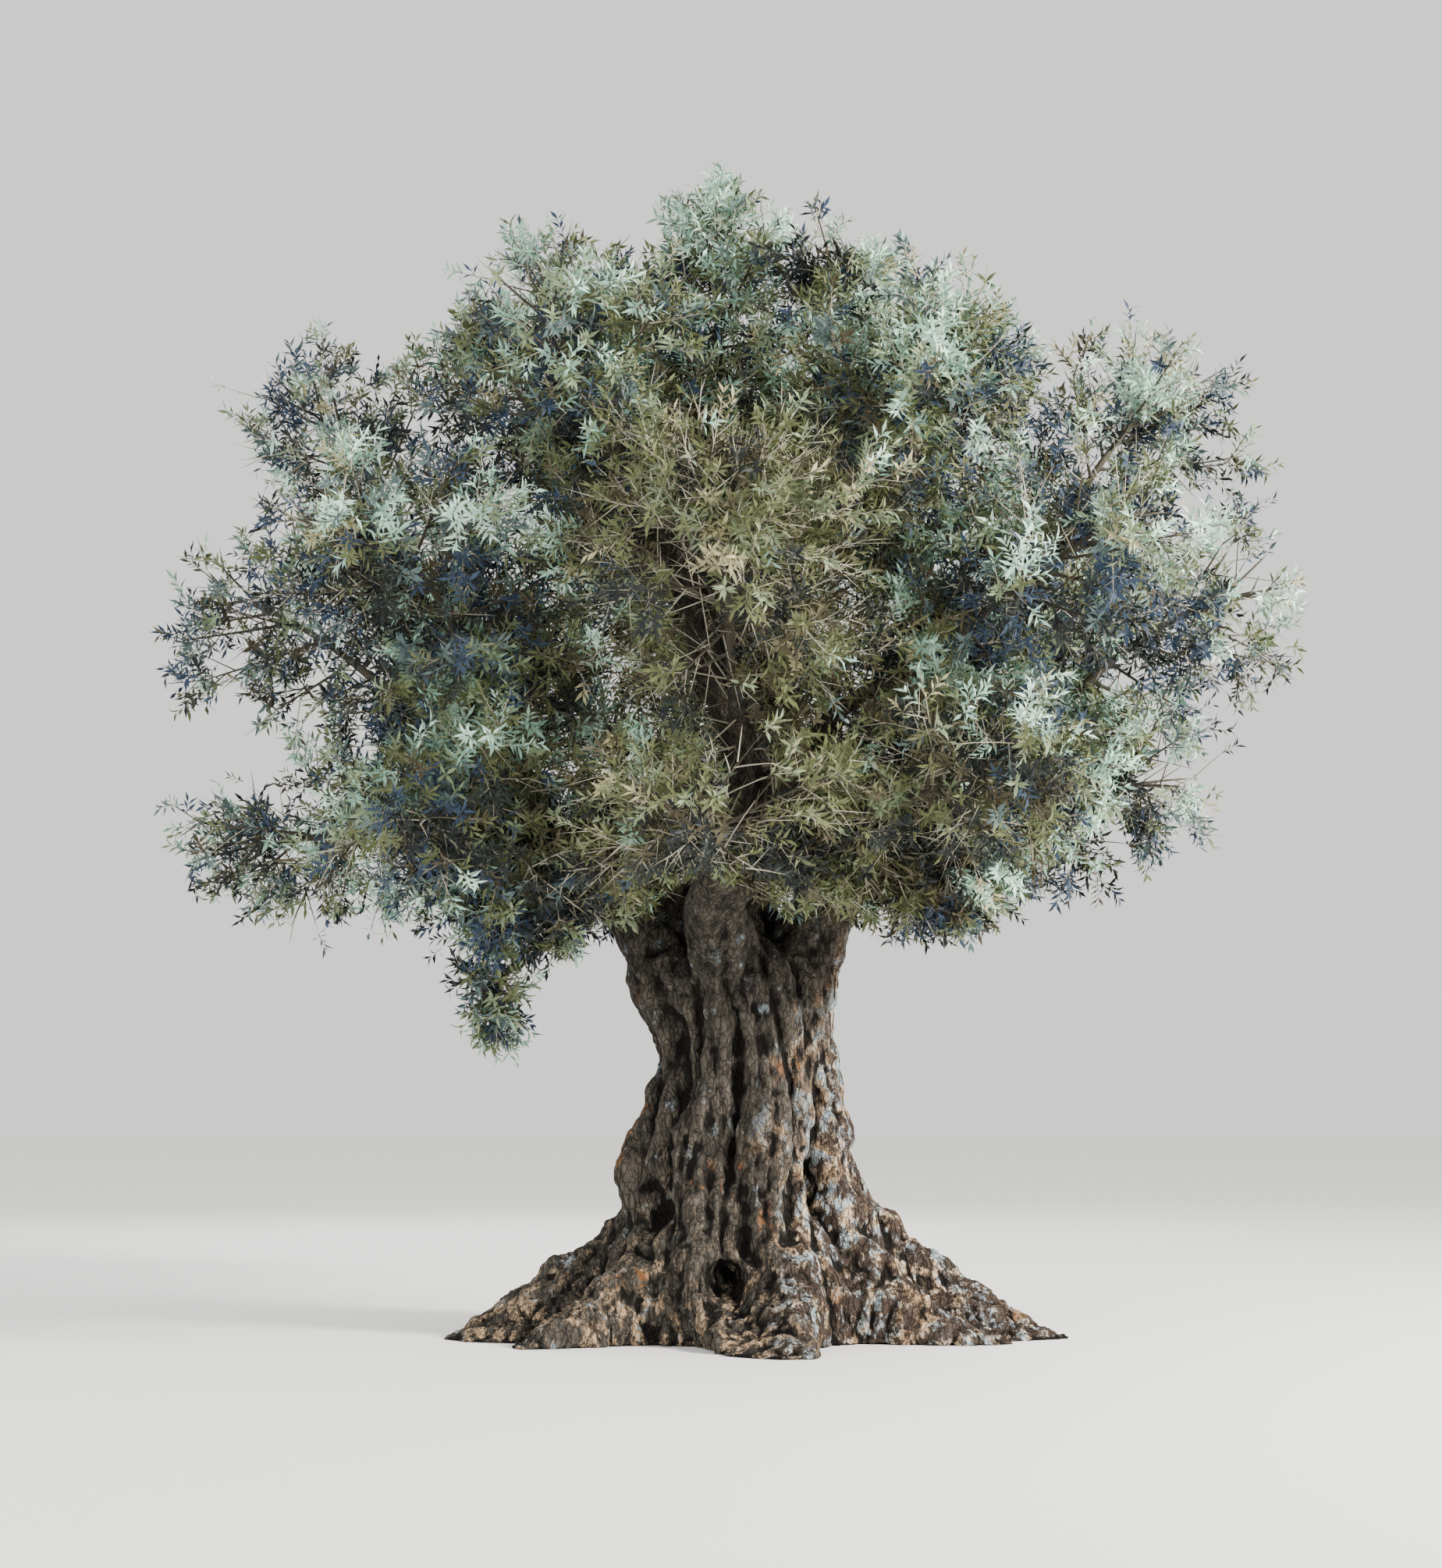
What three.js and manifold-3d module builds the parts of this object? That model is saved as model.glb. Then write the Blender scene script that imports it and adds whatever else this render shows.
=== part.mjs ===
// An old olive tree: a squat fluted trunk with spreading root feet, boughs that fork from its top,
// and the masses of foliage that they carry. Millimetres, +Z up. The origin is the middle of the
// flat cut at ground level, +X is to the right and +Y away from someone who faces the tree.

import * as THREE from "three";
import { mergeVertices } from "three/addons/utils/BufferGeometryUtils.js";
import Module from "manifold-3d";

const wasm = await Module();
wasm.setup();

const CLEARANCE = 0.4; // gap left between pieces that meet
const FINEST = 0.05; // detail smaller than this is closed up where pieces are joined
const FULL_TURN = 2 * Math.PI;
const GOLDEN_TURN = FULL_TURN * 0.381966; // turn from one twig to the next round a stem
const UP = new THREE.Vector3(0, 0, 1);
const CROWN_HEART = new THREE.Vector3(0, 0, 3500); // the crown's twigs point away from here

// How far the bark lies from the trunk's axis on its four sides, without the root feet.
const TRUNK_STATIONS = [
  { height: 0, right: 900, back: 880, left: 900, front: 900 },
  { height: 330, right: 850, back: 800, left: 790, front: 820 },
  { height: 650, right: 770, back: 700, left: 660, front: 730 },
  { height: 980, right: 650, back: 620, left: 735, front: 650 },
  { height: 1320, right: 610, back: 580, left: 610, front: 590 },
  { height: 1670, right: 590, back: 555, left: 530, front: 555 },
  { height: 2000, right: 585, back: 570, left: 660, front: 575 },
  { height: 2280, right: 590, back: 590, left: 790, front: 590 },
];
const SIDES = ["right", "back", "left", "front"]; // a quarter turn apart, from +X towards +Y

// The vertical flutes of the bark: how many go round, how deep, where they start, how they twist.
const FLUTES = [
  { count: 5, depth: 34, phase: 1.3, twist: 0.5 },
  { count: 9, depth: 26, phase: 0.4, twist: -0.35 },
];

// Root feet: bearing round the trunk, reach from the axis at the ground, the height at which each
// leaves the trunk, how hollow its back is (1 is straight), its half width as an angle, and how
// far it bends sideways on its way out.
const ROOTS = [
  { bearing: 2, reach: 1870, rise: 1000, fall: 1.6, width: 12, bend: -7 },
  { bearing: 38, reach: 1470, rise: 700, fall: 1.4, width: 10, bend: 9 },
  { bearing: 74, reach: 1600, rise: 760, fall: 1.5, width: 11, bend: -9 },
  { bearing: 112, reach: 1400, rise: 690, fall: 1.3, width: 10, bend: 8 },
  { bearing: 150, reach: 1560, rise: 700, fall: 1.3, width: 10, bend: -8 },
  { bearing: 184, reach: 1870, rise: 850, fall: 1, width: 13, bend: 6 },
  { bearing: 224, reach: 1560, rise: 720, fall: 1.4, width: 11, bend: -9 },
  { bearing: 258, reach: 1380, rise: 640, fall: 1.6, width: 9, bend: 9 },
  { bearing: 290, reach: 1500, rise: 700, fall: 1.5, width: 10, bend: -8 },
  { bearing: 327, reach: 1600, rise: 800, fall: 1.6, width: 11, bend: 9 },
];
const KNUCKLE = { depth: 70, spacing: 230 }; // the swellings along a root foot

// Burls that stand out of the bark, and hollows that go into it (depth below 0).
const BURLS = [
  { bearing: 196, height: 960, depth: 70, width: 17, tall: 260 },
  { bearing: 224, height: 880, depth: -90, width: 7, tall: 300 },
  { bearing: 340, height: 1180, depth: 60, width: 11, tall: 150 },
  { bearing: 336, height: 820, depth: 70, width: 12, tall: 140 },
  { bearing: 314, height: 860, depth: -130, width: 8, tall: 150 },
  { bearing: 262, height: 330, depth: -170, width: 8, tall: 130 },
  { bearing: 286, height: 1300, depth: 50, width: 12, tall: 330 },
  { bearing: 246, height: 1500, depth: 45, width: 12, tall: 380 },
  { bearing: 84, height: 1150, depth: 75, width: 17, tall: 250 },
  { bearing: 128, height: 700, depth: -110, width: 10, tall: 220 },
];

const TRUNK_FACETS = 42;
const TRUNK_ROWS = [0, 60, 140, 240, 360, 500, 650, 820, 1000, 1200, 1420, 1660, 1900, 2080];
// The rounded top between the boughs: height, and share of the full section that is left.
const TRUNK_CROWN = [
  { height: 2210, share: 0.9 },
  { height: 2310, share: 0.66 },
];
const TRUNK_TOP = 2360;

// The boughs that leave the trunk, by the mass at their end: where they start inside it, which
// way they go, and how thick they are there.
const MAIN_BOUGHS = {
  top_peak: { start: [-70, 30, 2000], way: [-0.03, 0, 1], radius: 285 },
  mid_left: { start: [-170, -30, 1900], way: [-0.6, -0.12, 0.79], radius: 255 },
  mid_right: { start: [150, -40, 1900], way: [0.44, -0.08, 0.9], radius: 225 },
  mid_front: { start: [-10, -150, 1900], way: [-0.12, -0.6, 0.79], radius: 215 },
  mid_back: { start: [40, 160, 1900], way: [0.08, 0.62, 0.78], radius: 240 },
};
const STUB = 950; // length of each main bough that belongs to the trunk
const COLLAR = { swell: 120, length: 420 }; // how main boughs thicken where they leave the trunk

// Masses of foliage: bearing, distance from the axis and height of the middle, then half the size
// outwards, across and upwards. Each is carried by a bough that leaves the bough of the mass
// "from" at the share "at" of its length.
const MASSES = {
  low_right: { bearing: 354, out: 1980, up: 3280, half: [850, 900, 660], from: "mid_right", at: 0.42 },
  low_right_inner: { bearing: 322, out: 1260, up: 2800, half: [600, 640, 500], from: "mid_right", at: 0.3 },
  low_front_right: { bearing: 306, out: 2050, up: 3180, half: [850, 900, 640], from: "mid_front", at: 0.34 },
  low_front: { bearing: 264, out: 2050, up: 2860, half: [800, 940, 560], from: "mid_front", at: 0.4 },
  low_front_left: { bearing: 221, out: 2120, up: 3020, half: [850, 900, 700], from: "mid_left", at: 0.34 },
  low_left: { bearing: 178, out: 2500, up: 2990, half: [860, 900, 660], from: "mid_left", at: 0.5 },
  low_left_inner: { bearing: 216, out: 1350, up: 2700, half: [640, 640, 540], from: "mid_left", at: 0.26 },
  hanging_left: { bearing: 206, out: 1560, up: 2080, half: [240, 250, 430], from: "low_left_inner", at: 0.7 },
  low_back_left: { bearing: 128, out: 2120, up: 3050, half: [880, 1000, 660], from: "mid_back", at: 0.34 },
  low_back_right: { bearing: 52, out: 2120, up: 3120, half: [880, 1000, 660], from: "mid_back", at: 0.4 },
  mid_right: { bearing: 2, out: 2460, up: 4270, half: [960, 1000, 880] },
  mid_front_right: { bearing: 316, out: 2320, up: 4330, half: [980, 1000, 840], from: "mid_front", at: 0.6 },
  mid_front: { bearing: 268, out: 2320, up: 4240, half: [900, 1060, 900] },
  mid_front_left: { bearing: 224, out: 2320, up: 4280, half: [980, 1000, 840], from: "mid_left", at: 0.6 },
  mid_left: { bearing: 180, out: 2560, up: 4250, half: [980, 1000, 880] },
  mid_back_left: { bearing: 137, out: 2350, up: 4350, half: [980, 1000, 860], from: "mid_back", at: 0.52 },
  mid_back: { bearing: 92, out: 2400, up: 4480, half: [940, 1000, 880] },
  mid_back_right: { bearing: 46, out: 2350, up: 4380, half: [980, 1000, 860], from: "mid_back", at: 0.62 },
  upper_right: { bearing: 4, out: 2180, up: 5330, half: [960, 940, 860], from: "mid_right", at: 0.6 },
  upper_front_right: { bearing: 303, out: 1700, up: 5120, half: [900, 960, 840], from: "top_peak", at: 0.42 },
  upper_front_left: { bearing: 238, out: 1720, up: 5400, half: [900, 960, 840], from: "top_peak", at: 0.36 },
  upper_left: { bearing: 177, out: 2280, up: 5300, half: [930, 940, 820], from: "mid_left", at: 0.7 },
  upper_back_left: { bearing: 121, out: 1740, up: 5420, half: [900, 980, 860], from: "top_peak", at: 0.46 },
  upper_back_right: { bearing: 59, out: 1740, up: 5460, half: [900, 980, 860], from: "top_peak", at: 0.5 },
  top_left: { bearing: 199, out: 1340, up: 5450, half: [740, 800, 720], from: "top_peak", at: 0.58 },
  top_left_peak: { bearing: 148, out: 960, up: 6150, half: [490, 620, 720], from: "top_peak", at: 0.7 },
  top_peak: { bearing: 180, out: 130, up: 6310, half: [460, 680, 740] },
  top_right_peak: { bearing: 312, out: 850, up: 5890, half: [500, 600, 680], from: "top_peak", at: 0.66 },
  top_right: { bearing: 18, out: 1340, up: 5620, half: [740, 800, 760], from: "top_peak", at: 0.6 },
};

const BOUGH = {
  thicknessPerMass: 88, // radius at the foot for each square root of a mass carried
  sideShare: 0.62, // a bough is at most this share as thick as its parent where it leaves
  tipRadius: 30,
  taper: 1.3, // above 1, a bough stays thick for longer
  mainSides: 8,
  sides: 6,
  ringStep: 420, // the furthest that the rings of a bough lie apart
  keepsWay: 0.5, // how much of its parent's way a bough keeps where it leaves
  leaves: 0.38, // share of its length along which it holds the way that it leaves by
  enters: 0.33, // share of its length along which it holds the way that it enters its mass by
  rise: 0.25, // how much a bough turns up as it enters its mass
  entry: 0.78, // a bough ends this far out from the middle of its mass, as a share of its half size
  gnarl: 0.045, // sideways wander, as a share of the bough's length
  gnarlTurns: [5.2, 6.1], // how quickly the wander turns, in the two directions across the bough
};
const CHAIN_STEPS = 14; // short straight stretches that stand for a bough when room is measured

// The stem goes on from the bough's tip through the middle of the mass.
const STEM = { radii: [29, 27, 17], reach: 0.5, sprays: 3, sprayPlaces: [0.97, 0.66] };
const TWIG = {
  count: 5,
  radii: [8, 6],
  places: [0.18, 0.78], // where the first and the last twig leave the stem
  leans: [88, 32], // degrees from the stem at the first and the last twig
  leanSpread: 16,
  reach: 0.66, // twigs end this far out from the middle of the mass, as a share of its half size
  shortest: 90,
  step: 30,
};
const SPRAY = {
  longest: 620,
  shortest: 300,
  step: 80,
  width: 0.46, // as a share of its length, like the thickness
  thickness: 0.024,
  places: [0.97, 0.72, 0.47], // along a twig, from its tip
  leans: [0.15, 0.7, 1.1, 1.5], // angles to the twig that are tried for each spray
  turns: 6, // ways round the twig that are tried at each lean
};
const SPACE_MARGIN = 0.05; // masses keep this share of their half size apart
const LIMB_ROOM = 20; // twigs and sprays keep this far from limbs that aren't their own
const SEED = 1009;

const bark = new THREE.MeshStandardMaterial({ color: 0x4a443a, roughness: 0.95, metalness: 0 });
const foliage = new THREE.MeshStandardMaterial({ color: 0x6f7a66, roughness: 0.7, metalness: 0 });

const radians = THREE.MathUtils.degToRad;
const between = (a, b, share) => a + (b - a) * share;
const turnBetween = (a, b) => Math.atan2(Math.sin(a - b), Math.cos(a - b));

// The same stream of numbers from 0 to 1 for the same seed.
function seededRandom(seed) {
  let state = seed >>> 0;
  return () => {
    state = (state + 0x6d2b79f5) >>> 0;
    let mixed = Math.imul(state ^ (state >>> 15), state | 1);
    mixed ^= mixed + Math.imul(mixed ^ (mixed >>> 7), mixed | 61);
    return ((mixed ^ (mixed >>> 14)) >>> 0) / 4294967296;
  };
}

// A geometry from rings of points that each have as many points, closed flat at both ends, or
// drawn to one point at the end.
function loft(rings, endPoint) {
  const count = rings[0].length;
  const points = rings.flat();
  const faces = [];
  for (let ring = 0; ring < rings.length - 1; ring++) {
    for (let i = 0; i < count; i++) {
      const next = (i + 1) % count;
      const low = ring * count;
      const high = low + count;
      faces.push(low + i, low + next, high + next, low + i, high + next, high + i);
    }
  }
  const flat = (ring) => THREE.ShapeUtils.triangulateShape(ring, []);
  for (const [a, b, c] of flat(ringInPlane(rings[0]))) faces.push(a, c, b);
  const last = (rings.length - 1) * count;
  if (endPoint) {
    points.push(endPoint);
    for (let i = 0; i < count; i++) faces.push(last + i, last + ((i + 1) % count), points.length - 1);
  } else {
    for (const [a, b, c] of flat(ringInPlane(rings.at(-1)))) faces.push(last + a, last + b, last + c);
  }
  const geometry = new THREE.BufferGeometry().setFromPoints(points);
  geometry.setIndex(faces);
  return geometry;
}

// A ring's points as 2D points in its own plane.
function ringInPlane(ring) {
  const middle = ring.reduce((sum, p) => sum.add(p), new THREE.Vector3()).divideScalar(ring.length);
  const normal = new THREE.Vector3();
  ring.forEach((p, i) => {
    const next = ring[(i + 1) % ring.length];
    normal.add(p.clone().sub(middle).cross(next.clone().sub(middle)));
  });
  const [across, along] = sideways(normal.normalize());
  return ring.map((p) => {
    const offset = p.clone().sub(middle);
    return new THREE.Vector2(offset.dot(across), offset.dot(along));
  });
}

// Two directions square to a way and to each other, turning anticlockwise about it.
function sideways(way) {
  const reference = Math.abs(way.z) < 0.9 ? UP : new THREE.Vector3(0, 1, 0);
  const across = reference.clone().cross(way).normalize();
  return [across, way.clone().cross(across)];
}

function ringAround(middle, way, radius, sides) {
  const [across, along] = sideways(way);
  return Array.from({ length: sides }, (_, i) => {
    const angle = (FULL_TURN * i) / sides;
    return middle
      .clone()
      .addScaledVector(across, radius * Math.cos(angle))
      .addScaledVector(along, radius * Math.sin(angle));
  });
}

function solidOf(geometry) {
  const plain = geometry.clone();
  plain.deleteAttribute("normal");
  plain.deleteAttribute("uv");
  const merged = mergeVertices(plain, 1e-3);
  return new wasm.Manifold(
    new wasm.Mesh({
      numProp: 3,
      vertProperties: new Float32Array(merged.attributes.position.array),
      triVerts: new Uint32Array(merged.index.array),
    }),
  );
}

// The largest piece of a joined or cut solid: scraps are dropped, sealed hollows are filled, and
// edges too short to matter are closed up.
function mainPiece(solid) {
  const largest = solid.decompose().reduce((best, piece) => (piece.volume() > best.volume() ? piece : best));
  return largest.simplify(FINEST);
}

function meshOf(name, solid, material) {
  const { numProp, numVert, vertProperties, triVerts } = solid.getMesh();
  const positions = new Float32Array(numVert * 3);
  for (let i = 0; i < numVert; i++) {
    positions.set(vertProperties.subarray(i * numProp, i * numProp + 3), i * 3);
  }
  const geometry = new THREE.BufferGeometry();
  geometry.setAttribute("position", new THREE.BufferAttribute(positions, 3));
  geometry.setIndex(new THREE.BufferAttribute(new Uint32Array(triVerts), 1));
  const mesh = new THREE.Mesh(geometry, material);
  mesh.name = name;
  return mesh;
}

// Trunk

// How far the bark lies from the axis on each side at a height, on smooth curves.
const trunkSides = new THREE.CubicInterpolant(
  TRUNK_STATIONS.map(({ height }) => height),
  TRUNK_STATIONS.flatMap((station) => SIDES.map((side) => station[side])),
  SIDES.length,
);

function coreReach(angle, height) {
  const reaches = trunkSides.evaluate(height);
  const quarter = Math.floor((angle / FULL_TURN) * SIDES.length) % SIDES.length;
  const share = Math.sin(angle - (quarter * FULL_TURN) / SIDES.length) ** 2;
  return between(reaches[quarter], reaches[(quarter + 1) % SIDES.length], share);
}

function rootReach(angle, height) {
  let total = 0;
  for (const root of ROOTS) {
    if (height >= root.rise) continue;
    const fall = 1 - height / root.rise;
    const bearing = radians(root.bearing + root.bend * fall * fall);
    const aside = turnBetween(angle, bearing) / radians(root.width);
    const knuckle = KNUCKLE.depth * Math.sin((FULL_TURN * height) / KNUCKLE.spacing + root.bearing);
    const out = root.reach - coreReach(radians(root.bearing), 0);
    total += (out * fall ** root.fall + 2 * knuckle * fall * (1 - fall)) * Math.exp(-aside * aside);
  }
  return total;
}

function trunkReach(angle, height) {
  let reach = coreReach(angle, height) + rootReach(angle, height);
  for (const flute of FLUTES) {
    reach += flute.depth * Math.sin(flute.count * angle + flute.phase + (flute.twist * height) / 1000);
  }
  for (const burl of BURLS) {
    const aside = turnBetween(angle, radians(burl.bearing)) / radians(burl.width);
    const above = (height - burl.height) / burl.tall;
    reach += burl.depth * Math.exp(-aside * aside - above * above);
  }
  return reach;
}

function trunkRing(height, share = 1) {
  const sectionHeight = Math.min(height, TRUNK_STATIONS.at(-1).height);
  return Array.from({ length: TRUNK_FACETS }, (_, i) => {
    const angle = (FULL_TURN * i) / TRUNK_FACETS;
    const reach = trunkReach(angle, sectionHeight) * share;
    return new THREE.Vector3(reach * Math.cos(angle), reach * Math.sin(angle), height);
  });
}

function trunkBody() {
  const rings = TRUNK_ROWS.map((height) => trunkRing(height));
  for (const { height, share } of TRUNK_CROWN) rings.push(trunkRing(height, share));
  return solidOf(loft(rings, new THREE.Vector3(0, 0, TRUNK_TOP)));
}

// Masses as spaces

function placeMass(mass) {
  const bearing = radians(mass.bearing);
  mass.outward = new THREE.Vector3(Math.cos(bearing), Math.sin(bearing), 0);
  mass.across = new THREE.Vector3(-Math.sin(bearing), Math.cos(bearing), 0);
  mass.middle = mass.outward.clone().multiplyScalar(mass.out).setZ(mass.up);
}

// How far out in a mass a point lies: 0 in the middle, 1 on its surface.
function measure(mass, point) {
  const offset = point.clone().sub(mass.middle);
  return Math.hypot(
    offset.dot(mass.outward) / mass.half[0],
    offset.dot(mass.across) / mass.half[1],
    offset.z / mass.half[2],
  );
}

// Whether a point is in a mass's own space: inside it, and deeper in it than in any other.
function owns(mass, point) {
  const depth = measure(mass, point);
  if (depth > 1) return false;
  return masses.every((other) => other === mass || measure(other, point) > depth + SPACE_MARGIN);
}

// Boughs

// A bough's middle line: a curve that leaves its parent one way and enters its mass another, with
// a sideways wander that is nothing at both ends.
function boughPoint(bough, share) {
  const [across, along] = sideways(bough.tip.clone().sub(bough.start).normalize());
  const wander = BOUGH.gnarl * bough.length * Math.sin(Math.PI * share);
  return bough.curve
    .getPoint(share)
    .addScaledVector(across, wander * Math.sin(BOUGH.gnarlTurns[0] * share + bough.phase))
    .addScaledVector(along, wander * Math.cos(BOUGH.gnarlTurns[1] * share + 2 * bough.phase));
}

function boughWay(bough, share) {
  const step = 0.01;
  const before = boughPoint(bough, Math.max(0, share - step));
  return boughPoint(bough, Math.min(1, share + step)).sub(before).normalize();
}

function boughRadius(bough, share) {
  const plain = between(bough.footRadius, BOUGH.tipRadius, share ** BOUGH.taper);
  if (!bough.isMain) return plain;
  return plain + COLLAR.swell * Math.exp(-(((share * bough.length) / COLLAR.length) ** 2));
}

function makeBough(mass, index, start, way, footRadius) {
  const inwards = start.clone().sub(mass.middle);
  const tip = mass.middle.clone().addScaledVector(inwards, BOUGH.entry / measure(mass, start));
  const length = tip.distanceTo(start);
  const enters = mass.middle.clone().sub(tip).normalize().addScaledVector(UP, BOUGH.rise).normalize();
  const curve = new THREE.CubicBezierCurve3(
    start,
    start.clone().addScaledVector(way, length * BOUGH.leaves),
    tip.clone().addScaledVector(enters, -length * BOUGH.enters),
    tip,
  );
  const isMain = mass.from === undefined;
  return { mass, start, tip, length, curve, footRadius, isMain, phase: index * GOLDEN_TURN };
}

function boughSolid(bough, from, to, grow = 0) {
  const rings = [];
  const fromShare = Math.max(0, (from - grow) / bough.length);
  const toShare = Math.min(1, (to + grow) / bough.length);
  const count = Math.ceil((to - from) / BOUGH.ringStep);
  const sides = bough.isMain ? BOUGH.mainSides : BOUGH.sides;
  for (let i = 0; i <= count; i++) {
    const share = between(fromShare, toShare, i / count);
    const radius = boughRadius(bough, share) + grow;
    rings.push(ringAround(boughPoint(bough, share), boughWay(bough, share), radius, sides));
  }
  return solidOf(loft(rings));
}

// How many masses the bough of one mass carries, its own included.
function massesCarried(name) {
  const branches = Object.entries(MASSES).filter(([, mass]) => mass.from === name);
  return 1 + branches.reduce((sum, [branch]) => sum + massesCarried(branch), 0);
}

// The bough of each mass, parents first.
function growBoughs() {
  const boughs = {};
  const add = (name, start, way, footRadius) => {
    const index = Object.keys(MASSES).indexOf(name);
    boughs[name] = makeBough(MASSES[name], index, start, way, footRadius);
    for (const [branch, mass] of Object.entries(MASSES)) {
      if (mass.from !== name) continue;
      const foot = boughPoint(boughs[name], mass.at);
      const onward = mass.middle.clone().sub(foot).normalize();
      const leaving = onward.addScaledVector(boughWay(boughs[name], mass.at), BOUGH.keepsWay);
      const thickest = BOUGH.sideShare * boughRadius(boughs[name], mass.at);
      const radius = Math.min(thickest, BOUGH.thicknessPerMass * Math.sqrt(massesCarried(branch)));
      add(branch, foot, leaving.normalize(), radius);
    }
  };
  for (const [name, { start, way, radius }] of Object.entries(MAIN_BOUGHS)) {
    add(name, new THREE.Vector3(...start), new THREE.Vector3(...way).normalize(), radius);
  }
  return boughs;
}

// Things that twigs keep clear of, as chains of points with a radius

function boughChain(bough) {
  return Array.from({ length: CHAIN_STEPS + 1 }, (_, i) => ({
    point: boughPoint(bough, i / CHAIN_STEPS),
    radius: boughRadius(bough, i / CHAIN_STEPS),
  }));
}

function stemOf(mass, bough) {
  const way = boughWay(bough, 1);
  const foot = bough.tip.clone().addScaledVector(way, CLEARANCE);
  const outwards = mass.middle.clone().sub(CROWN_HEART).normalize();
  const end = mass.middle.clone().addScaledVector(outwards, STEM.reach * Math.min(...mass.half));
  return { foot, way, middle: mass.middle.clone(), end };
}

function distanceToChain(chain, point) {
  let nearest = Infinity;
  for (let i = 0; i < chain.length - 1; i++) {
    const stretch = new THREE.Line3(chain[i].point, chain[i + 1].point);
    const closest = stretch.closestPointToPoint(point, true, new THREE.Vector3());
    nearest = Math.min(nearest, closest.distanceTo(point) - chain[i].radius);
  }
  return nearest;
}

function mayStand(mass, points) {
  const isClear = (point) => mass.obstacles.every((chain) => distanceToChain(chain, point) > LIMB_ROOM);
  return points.every((point) => owns(mass, point) && isClear(point));
}

// Foliage

function sprayPoints({ foot, way, across, length }) {
  const line = [0.2, 0.5, 0.8, 1].map((share) => foot.clone().addScaledVector(way, length * share));
  const halfWidth = (length * SPRAY.width) / 2;
  const edges = [-halfWidth, halfWidth].map((offset) => line[1].clone().addScaledVector(across, offset));
  return [...line, ...edges];
}

// A spray of leaves as one flat blade of eight faces that tapers to both ends.
function spraySolid({ foot, way, across, length }) {
  const middle = foot.clone().addScaledVector(way, length / 2);
  const frame = new THREE.Matrix4().makeBasis(
    way.clone().multiplyScalar(length / 2),
    across.clone().multiplyScalar((length * SPRAY.width) / 2),
    way.clone().cross(across).multiplyScalar((length * SPRAY.thickness) / 2),
  );
  frame.setPosition(middle);
  return solidOf(new THREE.OctahedronGeometry(1).applyMatrix4(frame));
}

// A three-sided stick through points, with a radius at each and its first end square to a way.
function stickSolid(points, radii, startWay) {
  const ways = points.slice(1).map((point, i) => point.clone().sub(points[i]).normalize());
  const rings = points.map((point, i) => {
    const way = i === 0 ? startWay : ways[i - 1].clone().add(ways[i] ?? ways[i - 1]).normalize();
    return ringAround(point, way, radii[i], 3);
  });
  return solidOf(loft(rings));
}

function stemPoint({ foot, middle, end }, share) {
  return share < 0.5 ? foot.clone().lerp(middle, share * 2) : middle.clone().lerp(end, share * 2 - 1);
}

// A direction that leans away from an axis by one angle and is turned round it by another.
function leanFrom(axis, lean, turn) {
  const [across, along] = sideways(axis);
  return axis
    .clone()
    .multiplyScalar(Math.cos(lean))
    .addScaledVector(across, Math.sin(lean) * Math.cos(turn))
    .addScaledVector(along, Math.sin(lean) * Math.sin(turn));
}

// The twigs of one mass: round the stem by a golden turn, wide at its foot and close at its end,
// each as long as the mass's own space lets it be.
function growTwigs(mass, stem, random) {
  const axis = stem.end.clone().sub(stem.foot).normalize();
  const twigs = [];
  for (let i = 0; i < TWIG.count; i++) {
    const place = i / (TWIG.count - 1);
    const foot = stemPoint(stem, between(...TWIG.places, place));
    const lean = radians(between(...TWIG.leans, place) + TWIG.leanSpread * (random() - 0.5));
    const way = leanFrom(axis, lean, i * GOLDEN_TURN + random());
    let length = 0;
    while (length < Math.max(...mass.half)) {
      const ahead = foot.clone().addScaledVector(way, length + TWIG.step);
      const isClear = length <= 2 * TWIG.step || mayStand(mass, [ahead]);
      if (measure(mass, ahead) > TWIG.reach || !isClear) break;
      length += TWIG.step;
    }
    if (length < TWIG.shortest) continue;
    const tip = foot.clone().addScaledVector(way, length);
    const solid = stickSolid([foot, tip], TWIG.radii, way);
    if (limbs.intersect(solid).isEmpty()) twigs.push({ foot, way, tip, solid });
  }
  return twigs;
}

// The ways that a spray may stand on a foot, as long as the mass's space lets each be.
function sprayChoices(mass, foot, along, random) {
  const choices = [];
  const turned = random() * FULL_TURN;
  for (const lean of SPRAY.leans) {
    for (let i = 0; i < SPRAY.turns; i++) {
      const way = leanFrom(along, lean, turned + lean + (FULL_TURN * i) / SPRAY.turns);
      const across = leanFrom(way, Math.PI / 2, random() * FULL_TURN);
      for (let length = SPRAY.longest; length >= SPRAY.shortest; length -= SPRAY.step) {
        const spray = { foot, way, across, length, middle: foot.clone().addScaledVector(way, length / 2) };
        if (!mayStand(mass, sprayPoints(spray))) continue;
        choices.push(spray);
        break;
      }
    }
  }
  return choices;
}

// Adds one spray to the pieces of a mass: of its choices, the one that stands furthest from the
// other sprays and crosses nothing but the twig that carries it.
function growSpray(mass, pieces, carrier, foot, along, random) {
  const sprays = pieces.filter(({ middle }) => middle);
  const choices = sprayChoices(mass, foot, along, random);
  for (const spray of choices) {
    spray.room = Math.min(spray.length, ...sprays.map(({ middle }) => middle.distanceTo(spray.middle)));
  }
  choices.sort((a, b) => b.room - a.room);
  for (const spray of choices) {
    const solid = spraySolid(spray);
    const others = [limbs, ...pieces.filter((piece) => piece !== carrier).map((piece) => piece.solid)];
    if (others.some((other) => !other.intersect(solid).isEmpty())) continue;
    pieces.push({ middle: spray.middle, solid });
    return;
  }
}

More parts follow.
